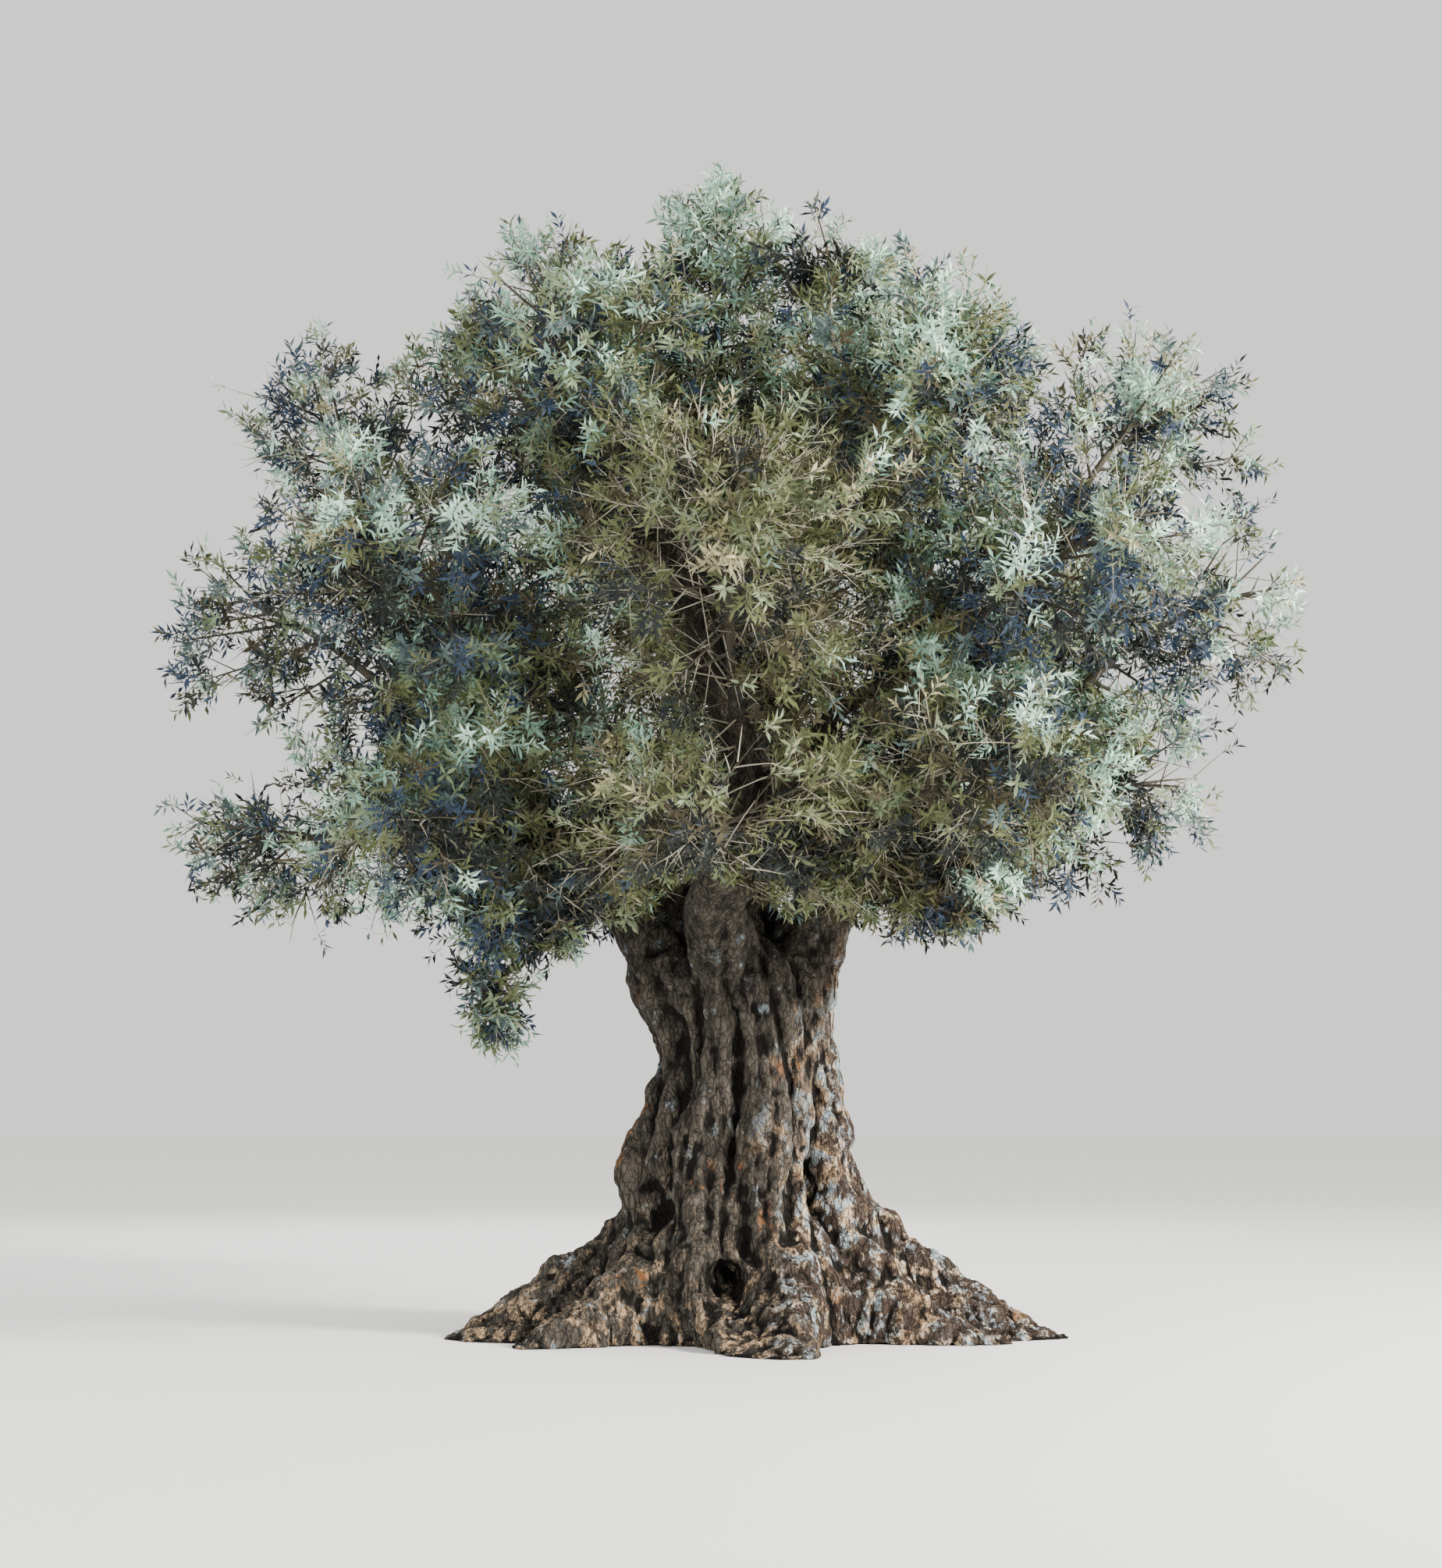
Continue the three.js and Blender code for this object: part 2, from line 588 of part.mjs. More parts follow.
// One mass: its stem, the twigs round it, and the sprays of the stem's outer part and of each twig.
function massSolid(mass, stem, random) {
  const stemPiece = { solid: stickSolid([stem.foot, stem.middle, stem.end], STEM.radii, stem.way) };
  const twigs = growTwigs(mass, stem, random);
  const pieces = [stemPiece, ...twigs];
  const onward = stem.end.clone().sub(stem.middle).normalize();
  for (let i = 0; i < STEM.sprays; i++) {
    const foot = stemPoint(stem, between(...STEM.sprayPlaces, i / (STEM.sprays - 1)));
    growSpray(mass, pieces, stemPiece, foot, onward, random);
  }
  for (const place of SPRAY.places) {
    for (const twig of twigs) {
      growSpray(mass, pieces, twig, twig.foot.clone().lerp(twig.tip, place), twig.way, random);
    }
  }
  return mainPiece(wasm.Manifold.union(pieces.map(({ solid }) => solid)));
}

// The tree

const masses = Object.values(MASSES);
masses.forEach(placeMass);
const boughs = growBoughs();
const stems = {};
for (const name of Object.keys(MASSES)) stems[name] = stemOf(MASSES[name], boughs[name]);

// What the twigs of each mass keep clear of: every bough, and the stems of the other masses.
for (const mass of masses) {
  const chains = Object.values(boughs).map(boughChain);
  for (const [name, { foot, middle, end }] of Object.entries(stems)) {
    if (MASSES[name] === mass) continue;
    chains.push([foot, middle, end].map((point) => ({ point, radius: BOUGH.tipRadius })));
  }
  const reach = Math.max(...mass.half);
  mass.obstacles = chains.filter((chain) => distanceToChain(chain, mass.middle) < reach);
}

const tree = new THREE.Group();
tree.name = "olive_tree";

// The trunk ends with the stubs of the main boughs, and each main bough goes on from its stub.
// Each bough is cut clear of the stubs and of the boughs that were made before it.
const blocks = [];
let trunk = trunkBody();
for (const bough of Object.values(boughs).filter(({ isMain }) => isMain)) {
  trunk = trunk.add(boughSolid(bough, 0, STUB));
  blocks.push({ owner: bough, solid: boughSolid(bough, 0, STUB, CLEARANCE) });
}
tree.add(meshOf("trunk", mainPiece(trunk), bark));

for (const [name, bough] of Object.entries(boughs)) {
  const first = bough.isMain ? STUB + CLEARANCE : 0;
  let solid = boughSolid(bough, first, bough.length);
  for (const block of blocks) {
    if (block.owner === bough || solid.intersect(block.solid).isEmpty()) continue;
    solid = solid.subtract(block.solid);
  }
  blocks.push({ owner: bough, solid: boughSolid(bough, first, bough.length, CLEARANCE) });
  tree.add(meshOf("bough_" + name, mainPiece(solid), bark));
}
const limbs = wasm.Manifold.union(blocks.map(({ solid }) => solid));

Object.entries(MASSES).forEach(([name, mass], index) => {
  const solid = massSolid(mass, stems[name], seededRandom(SEED * (index + 1)));
  tree.add(meshOf("foliage_" + name, solid, foliage));
});

export default tree;
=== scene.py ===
# The looks of an old olive tree: bark with its relief over the trunk and boughs, and twigs and
# leaves in place of the foliage masses. Metres, +Z up, the origin in the middle of the flat cut at
# ground level. Bearings are in degrees from +X towards +Y.

import math
from functools import partial

import bpy
import numpy as np
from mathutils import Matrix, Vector


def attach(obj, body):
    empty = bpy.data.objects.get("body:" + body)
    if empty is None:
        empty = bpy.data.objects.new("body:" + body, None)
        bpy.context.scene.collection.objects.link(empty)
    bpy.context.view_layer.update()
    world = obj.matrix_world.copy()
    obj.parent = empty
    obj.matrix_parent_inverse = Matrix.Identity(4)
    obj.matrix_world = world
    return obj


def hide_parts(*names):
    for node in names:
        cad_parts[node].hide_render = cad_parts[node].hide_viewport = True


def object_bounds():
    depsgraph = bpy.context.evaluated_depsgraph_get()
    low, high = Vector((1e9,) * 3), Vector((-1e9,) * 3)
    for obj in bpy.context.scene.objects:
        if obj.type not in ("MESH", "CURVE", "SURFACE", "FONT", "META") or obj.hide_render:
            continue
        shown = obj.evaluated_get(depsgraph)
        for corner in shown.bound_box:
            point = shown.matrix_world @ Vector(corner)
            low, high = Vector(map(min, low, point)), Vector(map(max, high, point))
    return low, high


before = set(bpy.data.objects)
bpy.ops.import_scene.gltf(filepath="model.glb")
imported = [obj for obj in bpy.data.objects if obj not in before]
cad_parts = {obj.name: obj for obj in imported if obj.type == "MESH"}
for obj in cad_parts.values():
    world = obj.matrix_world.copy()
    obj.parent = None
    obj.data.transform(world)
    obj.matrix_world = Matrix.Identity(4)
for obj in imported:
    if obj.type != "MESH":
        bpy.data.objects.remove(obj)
CAD_BOX = [np.array(corner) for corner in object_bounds()]

GOLDEN_TURN = 2 * math.pi * 0.381966  # turn from one twig to the next round a stem
UP = np.array([0.0, 0.0, 1.0])
CROWN_HEART = np.array([0.0, 0.0, 3.5])  # stems point away from here, and lights shine on it
SEED = 1009  # each noise adds a number of its own
EYE = Vector((-0.12, -17.0, 1.5))  # the tree is looked at from here

# Trunk: how far the bark lies from the axis at each height, on the right, back, left and front.
TRUNK_HEIGHTS = np.array([0, 0.33, 0.65, 0.98, 1.32, 1.67, 2.0, 2.28])
TRUNK_SIDES = np.array(
    [
        [0.90, 0.88, 0.90, 0.90],
        [0.85, 0.80, 0.79, 0.82],
        [0.77, 0.70, 0.66, 0.73],
        [0.65, 0.62, 0.735, 0.65],
        [0.61, 0.58, 0.61, 0.59],
        [0.59, 0.555, 0.53, 0.555],
        [0.585, 0.57, 0.66, 0.575],
        [0.59, 0.59, 0.79, 0.59],
    ]
)
# The rounded top between the boughs: height, and the share of the full section that is left.
TRUNK_CROWN = {2.08: 1.0, 2.21: 0.9, 2.31: 0.66, 2.36: 0.0}
# Flutes: how many there are, how deep, their phase and how they twist with height.
FLUTES = [(5, 0.034, 1.3, 0.5), (9, 0.026, 0.4, -0.35)]
# Root feet: bearing, reach at the ground, height at which each leaves the trunk, how hollow its
# back is, half its width in degrees, and how many degrees it bends sideways on its way out.
ROOTS = [
    (2, 1.87, 1.0, 1.6, 12, -7),
    (38, 1.47, 0.7, 1.4, 10, 9),
    (74, 1.6, 0.76, 1.5, 11, -9),
    (112, 1.4, 0.69, 1.3, 10, 8),
    (150, 1.56, 0.7, 1.3, 10, -8),
    (184, 1.87, 0.85, 1.0, 13, 6),
    (224, 1.56, 0.72, 1.4, 11, -9),
    (258, 1.38, 0.64, 1.6, 9, 9),
    (290, 1.5, 0.7, 1.5, 10, -8),
    (327, 1.6, 0.8, 1.6, 11, 9),
]
KNUCKLE = {"depth": 0.07, "spacing": 0.23}
# Burls that stand out of the bark, and hollows that go into it (depth below 0): bearing, height,
# depth, half the width in degrees and half the height.
BURLS = [
    (196, 0.96, 0.07, 17, 0.26),
    (224, 0.88, -0.09, 7, 0.3),
    (340, 1.18, 0.06, 11, 0.15),
    (336, 0.82, 0.07, 12, 0.14),
    (314, 0.86, -0.13, 8, 0.15),
    (262, 0.33, -0.17, 8, 0.13),
    (286, 1.3, 0.05, 12, 0.33),
    (246, 1.5, 0.045, 12, 0.38),
    (84, 1.15, 0.075, 17, 0.25),
    (128, 0.7, -0.11, 10, 0.22),
]

# The boughs that leave the trunk, by the mass at their end: start, way and radius.
MAIN_BOUGHS = {
    "top_peak": ((-0.07, 0.03, 2.0), (-0.03, 0, 1), 0.285),
    "mid_left": ((-0.17, -0.03, 1.9), (-0.6, -0.12, 0.79), 0.255),
    "mid_right": ((0.15, -0.04, 1.9), (0.44, -0.08, 0.9), 0.225),
    "mid_front": ((-0.01, -0.15, 1.9), (-0.12, -0.6, 0.79), 0.215),
    "mid_back": ((0.04, 0.16, 1.9), (0.08, 0.62, 0.78), 0.24),
}
COLLAR = {"swell": 0.12, "length": 0.42}  # how main boughs thicken where they leave the trunk
BOUGH = {
    "thickness_per_mass": 0.088,
    "side_share": 0.62,
    "tip_radius": 0.03,
    "taper": 1.3,
    "keeps_way": 0.5,
    "leaves": 0.38,
    "enters": 0.33,
    "rise": 0.25,
    "entry": 0.78,
    "gnarl": 0.045,
    "gnarl_turns": (5.2, 6.1),
}


def mass(bearing, out, up, half, carrier=None, at=0.0, density=1.0):
    """A mass of foliage: where its middle is, half its size outwards, across and up, the bough
    that its own bough leaves, at a share of its length, and how thick its foliage is."""
    angle = math.radians(bearing)
    outward = np.array([math.cos(angle), math.sin(angle), 0])
    across = np.array([-math.sin(angle), math.cos(angle), 0])
    return {
        "axes": np.array([outward, across, UP]),
        "middle": outward * out + UP * up,
        "half": np.array(half),
        "carrier": carrier,
        "at": at,
        "density": density,
    }


MASSES = {
    "low_right": mass(354, 1.98, 3.28, (0.85, 0.9, 0.66), "mid_right", 0.42),
    "low_right_inner": mass(322, 1.26, 2.8, (0.6, 0.64, 0.5), "mid_right", 0.3, density=1.2),
    "low_front_right": mass(306, 2.05, 3.18, (0.85, 0.9, 0.64), "mid_front", 0.34),
    "low_front": mass(264, 2.05, 2.86, (0.8, 0.94, 0.56), "mid_front", 0.4, density=1.3),
    "low_front_left": mass(221, 2.12, 3.02, (0.85, 0.9, 0.7), "mid_left", 0.34),
    "low_left": mass(178, 2.5, 2.99, (0.86, 0.9, 0.66), "mid_left", 0.5, density=0.8),
    "low_left_inner": mass(216, 1.35, 2.7, (0.64, 0.64, 0.54), "mid_left", 0.26),
    "hanging_left": mass(206, 1.56, 2.08, (0.24, 0.25, 0.43), "low_left_inner", 0.7, density=0.3),
    "low_back_left": mass(128, 2.12, 3.05, (0.88, 1.0, 0.66), "mid_back", 0.34),
    "low_back_right": mass(52, 2.12, 3.12, (0.88, 1.0, 0.66), "mid_back", 0.4),
    "mid_right": mass(2, 2.46, 4.27, (0.96, 1.0, 0.88), density=0.85),
    "mid_front_right": mass(316, 2.32, 4.33, (0.98, 1.0, 0.84), "mid_front", 0.6, density=1.2),
    "mid_front": mass(268, 2.32, 4.24, (0.9, 1.06, 0.9), density=1.5),
    "mid_front_left": mass(224, 2.32, 4.28, (0.98, 1.0, 0.84), "mid_left", 0.6, density=1.2),
    "mid_left": mass(180, 2.56, 4.25, (0.98, 1.0, 0.88), density=0.75),
    "mid_back_left": mass(137, 2.35, 4.35, (0.98, 1.0, 0.86), "mid_back", 0.52, density=1.15),
    "mid_back": mass(92, 2.4, 4.48, (0.94, 1.0, 0.88), density=1.35),
    "mid_back_right": mass(46, 2.35, 4.38, (0.98, 1.0, 0.86), "mid_back", 0.62, density=1.15),
    "upper_right": mass(4, 2.18, 5.33, (0.96, 0.94, 0.86), "mid_right", 0.6, density=0.85),
    "upper_front_right": mass(303, 1.7, 5.12, (0.9, 0.96, 0.84), "top_peak", 0.42),
    "upper_front_left": mass(238, 1.72, 5.4, (0.9, 0.96, 0.84), "top_peak", 0.36),
    "upper_left": mass(177, 2.28, 5.3, (0.93, 0.94, 0.82), "mid_left", 0.7, density=0.7),
    "upper_back_left": mass(121, 1.74, 5.42, (0.9, 0.98, 0.86), "top_peak", 0.46),
    "upper_back_right": mass(59, 1.74, 5.46, (0.9, 0.98, 0.86), "top_peak", 0.5),
    "top_left": mass(199, 1.34, 5.45, (0.74, 0.8, 0.72), "top_peak", 0.58, density=0.75),
    "top_left_peak": mass(148, 0.96, 6.15, (0.49, 0.62, 0.72), "top_peak", 0.7, density=0.6),
    "top_peak": mass(180, 0.13, 6.31, (0.46, 0.68, 0.74), density=0.6),
    "top_right_peak": mass(312, 0.85, 5.89, (0.5, 0.6, 0.68), "top_peak", 0.66, density=0.6),
    "top_right": mass(18, 1.34, 5.62, (0.74, 0.8, 0.76), "top_peak", 0.6, density=0.7),
}
MIDDLES = np.array([m["middle"] for m in MASSES.values()])
AXES = np.array([m["axes"] for m in MASSES.values()])
HALVES = np.array([m["half"] for m in MASSES.values()])
NAMES = list(MASSES)


# Helpers


def unit(rows):
    return rows / np.linalg.norm(rows, axis=-1, keepdims=True)


def sideways(ways):
    """Two directions square to each way and to each other, turning anticlockwise about it."""
    ways = np.atleast_2d(ways)
    reference = np.where(np.abs(ways[:, 2:]) < 0.9, UP, np.array([0.0, 1.0, 0.0]))
    across = unit(np.cross(reference, ways))
    return across, np.cross(ways, across)


def lean_from(axes, leans, turns):
    """Directions that lean away from their axes and are turned round them."""
    across, along = sideways(axes)
    out = across * np.cos(turns)[:, None] + along * np.sin(turns)[:, None]
    return axes * np.cos(leans)[:, None] + out * np.sin(leans)[:, None]


# Large odd numbers that scatter the cells of the noise.
SCATTER_CELLS = np.array([73856093, 19349663, 83492791])
SCATTER_SEED = 2654435761
SCATTER_AGAIN = 1274126177


def noise(points, seed=0):
    """Smooth noise of about -1 to 1, with cells of size 1."""
    cells = np.floor(points).astype(np.int64)
    inside = points - cells
    ease = inside**3 * (inside * (inside * 6 - 15) + 10)
    total = np.zeros(len(points))
    for corner in np.ndindex(2, 2, 2):
        scattered = (cells + corner) @ SCATTER_CELLS + seed * SCATTER_SEED
        scattered = (scattered ^ (scattered >> 13)) * SCATTER_AGAIN
        scattered = scattered ^ (scattered >> 15)
        gradient = np.stack([(scattered >> shift & 255) / 127.5 - 1 for shift in (3, 11, 19)], 1)
        weight = np.prod(np.where(corner, ease, 1 - ease), axis=1)
        total += weight * ((inside - corner) * gradient).sum(1)
    return total * 1.5


def smooth_curve(x, stations, values):
    """The values at x on a smooth curve through the stations."""
    slopes = np.gradient(values, stations, axis=0)
    i = np.clip(np.searchsorted(stations, x) - 1, 0, len(stations) - 2)
    width = (stations[i + 1] - stations[i])[:, None]
    t = (np.clip(x, stations[0], stations[-1]) - stations[i])[:, None] / width
    start = values[i] * (1 + 2 * t) * (1 - t) ** 2 + slopes[i] * width * t * (1 - t) ** 2
    end = values[i + 1] * t**2 * (3 - 2 * t) - slopes[i + 1] * width * t**2 * (1 - t)
    return start + end


def looked_up(x, table):
    """The values at x between those of a table."""
    return np.interp(x, list(table), list(table.values()))


def in_scene(name, data):
    made = bpy.data.objects.new(name, data)
    bpy.context.scene.collection.objects.link(made)
    return made


def mesh_object(name, points, faces, materials, dealt=None):
    """A mesh of faces that all have as many corners."""
    mesh = bpy.data.meshes.new(name)
    mesh.vertices.add(len(points))
    mesh.vertices.foreach_set("co", np.ravel(points).astype(np.float32))
    mesh.loops.add(faces.size)
    mesh.loops.foreach_set("vertex_index", faces.ravel().astype(np.int32))
    mesh.polygons.add(len(faces))
    mesh.polygons.foreach_set("loop_start", np.arange(len(faces), dtype=np.int32) * faces.shape[1])
    for material in materials:
        mesh.materials.append(material)
    if dealt is not None:
        mesh.polygons.foreach_set("material_index", dealt.astype(np.int32))
    mesh.update(calc_edges=True)
    return in_scene(name, mesh)


def ring_faces(rings, count):
    """Quads between rings of points that follow each other, as rows of four indices."""
    grids = np.meshgrid(np.arange(rings - 1) * count, np.arange(count), indexing="ij")
    low, here = (grid.ravel() for grid in grids)
    after = (here + 1) % count
    return np.stack([low + here, low + after, low + count + after, low + count + here], 1)


def cap_faces(count, first, tip):
    """Quads between a ring of points and the one that closes it, each with a corner twice."""
    here = first + np.arange(count)
    after = first + (np.arange(count) + 1) % count
    return np.stack([np.full(count, tip), after, here, here], 1)


# Trunk and boughs


def turn_between(a, b):
    return np.arctan2(np.sin(a - b), np.cos(a - b))


def core_reach(angle, height):
    sides = smooth_curve(height, TRUNK_HEIGHTS, TRUNK_SIDES)
    quarter = np.floor(angle / (math.pi / 2)).astype(int) % 4
    rows = np.arange(len(angle))
    share = np.sin(angle - quarter * math.pi / 2) ** 2
    return sides[rows, quarter] * (1 - share) + sides[rows, (quarter + 1) % 4] * share


def root_reach(angle, height):
    total = np.zeros(len(angle))
    for bearing, reach, rise, hollow, width, bend in ROOTS:
        fall = np.clip(1 - height / rise, 0, 1)
        bent = np.radians(bearing + bend * fall**2)
        aside = turn_between(angle, bent) / math.radians(width)
        foot = core_reach(np.array([math.radians(bearing)]), np.array([0.0]))
        knuckle = np.sin(2 * math.pi * height / KNUCKLE["spacing"] + bearing)
        out = (reach - foot) * fall**hollow
        out = out + 2 * KNUCKLE["depth"] * knuckle * fall * (1 - fall)
        total += out * np.exp(-(aside**2))
    return total


# Furrows of old bark, in metres: cell sizes round and along the limb, depth, and how narrow they
# are (narrow furrows leave broad backs).
RELIEFS = [((0.27, 1.7), 0.075, 0.2), ((0.13, 0.75), 0.036, 0.2), ((0.06, 0.3), 0.016, 0.26)]
KNOBS = {"cell": 0.13, "height": 0.022}
BACKS = 0.03  # how far the backs between the furrows stand out
FULL_RELIEF = 0.6  # the radius of the limbs on which the relief has its whole depth
LEAST_RELIEF = 0.08  # its share on the thinnest
SWAY = {"turn": 0.25, "pace": 0.8}  # how far furrows wander round the limb, and how fast


def bark_relief(around, along, radius, seed):
    """How far the bark stands out at an angle round a limb and a length along it."""
    size = np.clip(radius / FULL_RELIEF, LEAST_RELIEF, 1)
    spot = np.stack([along * SWAY["pace"], np.cos(around), np.sin(around)], 1)
    turned = around + SWAY["turn"] * noise(spot, seed)
    total = BACKS * size
    for layer, ((across, length), depth, narrow) in enumerate(RELIEFS):
        cells = radius / (across * np.sqrt(size))
        spot = np.stack([np.cos(turned) * cells, np.sin(turned) * cells, along / length], 1)
        total = total - depth * size * np.exp(-((noise(spot, seed + layer) / narrow) ** 2))
    knob = np.stack([np.cos(around) * radius, np.sin(around) * radius, along], 1) / KNOBS["cell"]
    return total + KNOBS["height"] * np.sqrt(size) * noise(knob, seed + 9)


TRUNK_GRID = {"angles": 460, "rows": 210}
TRUNK_RADIUS = 0.62  # for the size of its furrows
HOLLOW_STEEPNESS = 1.6  # hollows are this much deeper than burls are high, with steeper sides


def trunk_solid():
    """Points and quads of the trunk, closed flat below and drawn to a point on top."""
    heights = np.linspace(0, max(TRUNK_CROWN), TRUNK_GRID["rows"])
    angles = np.linspace(0, 2 * math.pi, TRUNK_GRID["angles"], endpoint=False)
    height, angle = (grid.ravel() for grid in np.meshgrid(heights, angles, indexing="ij"))
    section = np.minimum(height, TRUNK_HEIGHTS[-1])
    reach = core_reach(angle, section) + root_reach(angle, section)
    for count, depth, phase, twist in FLUTES:
        reach += depth * np.sin(count * angle + phase + twist * section)
    for bearing, level, depth, width, tall in BURLS:
        aside = turn_between(angle, math.radians(bearing)) / math.radians(width)
        above = (section - level) / tall
        away = aside**2 + above**2
        steepness = 1 if depth > 0 else HOLLOW_STEEPNESS
        reach += depth * steepness * np.exp(-(away**steepness))
    reach += bark_relief(angle, height, TRUNK_RADIUS, SEED)
    reach *= looked_up(height, TRUNK_CROWN)
    points = np.stack([reach * np.cos(angle), reach * np.sin(angle), height], 1)
    faces = ring_faces(TRUNK_GRID["rows"], TRUNK_GRID["angles"])
    base = cap_faces(TRUNK_GRID["angles"], 0, len(points))
    return np.vstack([points, [[0, 0, 0]]]), np.vstack([faces, base])


def make_bough(name, start, way, foot_radius):
    target = MASSES[name]
    inwards = start - target["middle"]
    tip = target["middle"] + inwards * BOUGH["entry"] / measure(start[None])[0, NAMES.index(name)]
    length = np.linalg.norm(tip - start)
    enters = unit(unit(target["middle"] - tip) + UP * BOUGH["rise"])
    handles = [start, start + way * length * BOUGH["leaves"], tip - enters * length * BOUGH["enters"], tip]
    return {
        "handles": np.array(handles),
        "length": length,
        "foot_radius": foot_radius,
        "is_main": target["carrier"] is None,
        "phase": NAMES.index(name) * GOLDEN_TURN,
    }


def measure(points):
    """How far out each point lies in each mass: 0 in the middle, 1 on its surface."""
    offsets = points[:, None, :] - MIDDLES
    return np.linalg.norm(np.einsum("pmk,mak->pma", offsets, AXES) / HALVES, axis=2)


def bough_points(bough, shares):
    a, b, c, d = bough["handles"]
    t = np.atleast_1d(shares)[:, None]
    curve = a * (1 - t) ** 3 + 3 * b * t * (1 - t) ** 2 + 3 * c * t**2 * (1 - t) + d * t**3
    across, along = sideways(unit(d - a))
    wander = BOUGH["gnarl"] * bough["length"] * np.sin(math.pi * t)
    first, second = BOUGH["gnarl_turns"]
    curve = curve + across * wander * np.sin(first * t + bough["phase"])
    return curve + along * wander * np.cos(second * t + 2 * bough["phase"])


def bough_ways(bough, shares, step=0.01):
    shares = np.atleast_1d(shares)
    ahead = bough_points(bough, np.minimum(1, shares + step))
    return unit(ahead - bough_points(bough, np.maximum(0, shares - step)))


def bough_radii(bough, shares):
    shares = np.atleast_1d(shares)
    foot = bough["foot_radius"]
    radii = foot + (BOUGH["tip_radius"] - foot) * shares ** BOUGH["taper"]
    if bough["is_main"]:
        radii = radii + COLLAR["swell"] * np.exp(-((shares * bough["length"] / COLLAR["length"]) ** 2))
    return radii


def masses_carried(name):
    return 1 + sum(masses_carried(other) for other in NAMES if MASSES[other]["carrier"] == name)


def grow_boughs():
    """The bough of each mass, parents first."""
    boughs = {}

    def add(name, start, way, foot_radius):
        bough = boughs[name] = make_bough(name, start, way, foot_radius)
        for branch in (other for other in NAMES if MASSES[other]["carrier"] == name):
            at = MASSES[branch]["at"]
            foot = bough_points(bough, at)[0]
            onward = unit(MASSES[branch]["middle"] - foot)
            leaving = unit(onward + bough_ways(bough, at)[0] * BOUGH["keeps_way"])
            thickest = BOUGH["side_share"] * bough_radii(bough, at)[0]
            wanted = BOUGH["thickness_per_mass"] * math.sqrt(masses_carried(branch))
            add(branch, foot, leaving, min(thickest, wanted))

    for name, (start, way, radius) in MAIN_BOUGHS.items():
        add(name, np.array(start), unit(np.array(way, float)), radius)
    return boughs


BOUGHS = grow_boughs()
SIDE_FLARE = {"swell": 0.55, "length": 2.4}  # of a side bough's foot, in foot radii
BOUGH_GRID = {"step": 0.035, "main_sides": 56, "sides": 22}


def bough_solid(bough, seed):
    """Points and quads of one bough with the relief of its bark, closed at both ends."""
    rings = int(bough["length"] / BOUGH_GRID["step"])
    sides = BOUGH_GRID["main_sides"] if bough["is_main"] else BOUGH_GRID["sides"]
    shares = np.linspace(0, 1, rings)
    radii = bough_radii(bough, shares)
    if not bough["is_main"]:
        foot = bough["foot_radius"]
        flare = np.exp(-((shares * bough["length"] / (SIDE_FLARE["length"] * foot)) ** 2))
        radii = radii + SIDE_FLARE["swell"] * foot * flare
    across, along = sideways(bough_ways(bough, shares))
    angle = np.tile(np.linspace(0, 2 * math.pi, sides, endpoint=False), rings)
    ring = np.repeat(np.arange(rings), sides)
    relief = bark_relief(angle, shares[ring] * bough["length"], radii[ring], seed)
    reach = (radii[ring] + relief)[:, None]
    out = across[ring] * np.cos(angle)[:, None] + along[ring] * np.sin(angle)[:, None]
    points = bough_points(bough, shares)[ring] + out * reach
    faces = ring_faces(rings, sides)
    ends = bough_points(bough, [0.0, 1.0])
    first = cap_faces(sides, 0, len(points))
    last = cap_faces(sides, (rings - 1) * sides, len(points) + 1)[:, [0, 2, 1, 1]]
    return np.vstack([points, ends]), np.vstack([faces, first, last])


BARK = {
    "voxel": 0.013,
    "smoothings": 2,
    "most_triangles": 190000,
    "proudness_smoothings": 14,
    "proudness_depth": 0.012,
    "seeds": 20,
}
# Knobs and broken plates of bark, from coarse to fine: cell size and depth. They are strongest
# on the root feet and weakest on the boughs.
CRUSTS = [(0.17, 0.014), (0.085, 0.009), (0.04, 0.006)]
CRUST_FORM = {"steepness": 2.4, "level": 0.65}
CRUST_SHARES = {0.0: 1.4, 0.75: 1.0, 2.1: 0.9, 2.9: 0.5, 3.8: 0.3}
CRUST_TALL = np.array([1, 1, 0.5])  # makes its cells taller than wide


def closed_mesh(name, parts):
    """One mesh object from parts of points and quads, whose repeated corners are left out."""
    points = []
    faces = []
    for part_points, part_faces in parts:
        offset = sum(len(p) for p in points)
        points.append(part_points)
        faces += [tuple(dict.fromkeys(int(i) + offset for i in face)) for face in part_faces]
    mesh = bpy.data.meshes.new(name)
    mesh.from_pydata(np.vstack(points).tolist(), [], faces)
    return in_scene(name, mesh)


def apply_modifier(obj, kind, **settings):
    modifier = obj.modifiers.new(kind.lower(), kind)
    for name, value in settings.items():
        setattr(modifier, name, value)
    evaluated = obj.evaluated_get(bpy.context.evaluated_depsgraph_get())
    old = obj.data
    obj.data = bpy.data.meshes.new_from_object(evaluated)
    obj.modifiers.clear()
    bpy.data.meshes.remove(old)


def rows_of(items, name):
    """A property of three numbers that each item of a mesh has, as rows."""
    values = np.zeros(len(items) * 3, np.float32)
    items.foreach_get(name, values)
    return values.reshape(-1, 3).astype(float)


def move_points(mesh, points):
    """Moves a mesh's points, none of them below the ground."""
    points[:, 2] = np.maximum(points[:, 2], 0)
    mesh.vertices.foreach_set("co", points.astype(np.float32).ravel())
    mesh.update()


def smoothed(mesh, values, rounds):
    """Values of a mesh's points, each averaged with its neighbours for some rounds."""
    ends = np.zeros(len(mesh.edges) * 2, np.int32)
    mesh.edges.foreach_get("vertices", ends)
    a, b = ends.reshape(-1, 2).T
    size = len(values)
    count = np.bincount(a, minlength=size) + np.bincount(b, minlength=size)
    for _ in range(rounds):
        sums = [np.bincount(a, row[b], size) + np.bincount(b, row[a], size) for row in values.T]
        values = 0.5 * values + 0.5 * np.stack(sums, 1) / count[:, None]
    return values


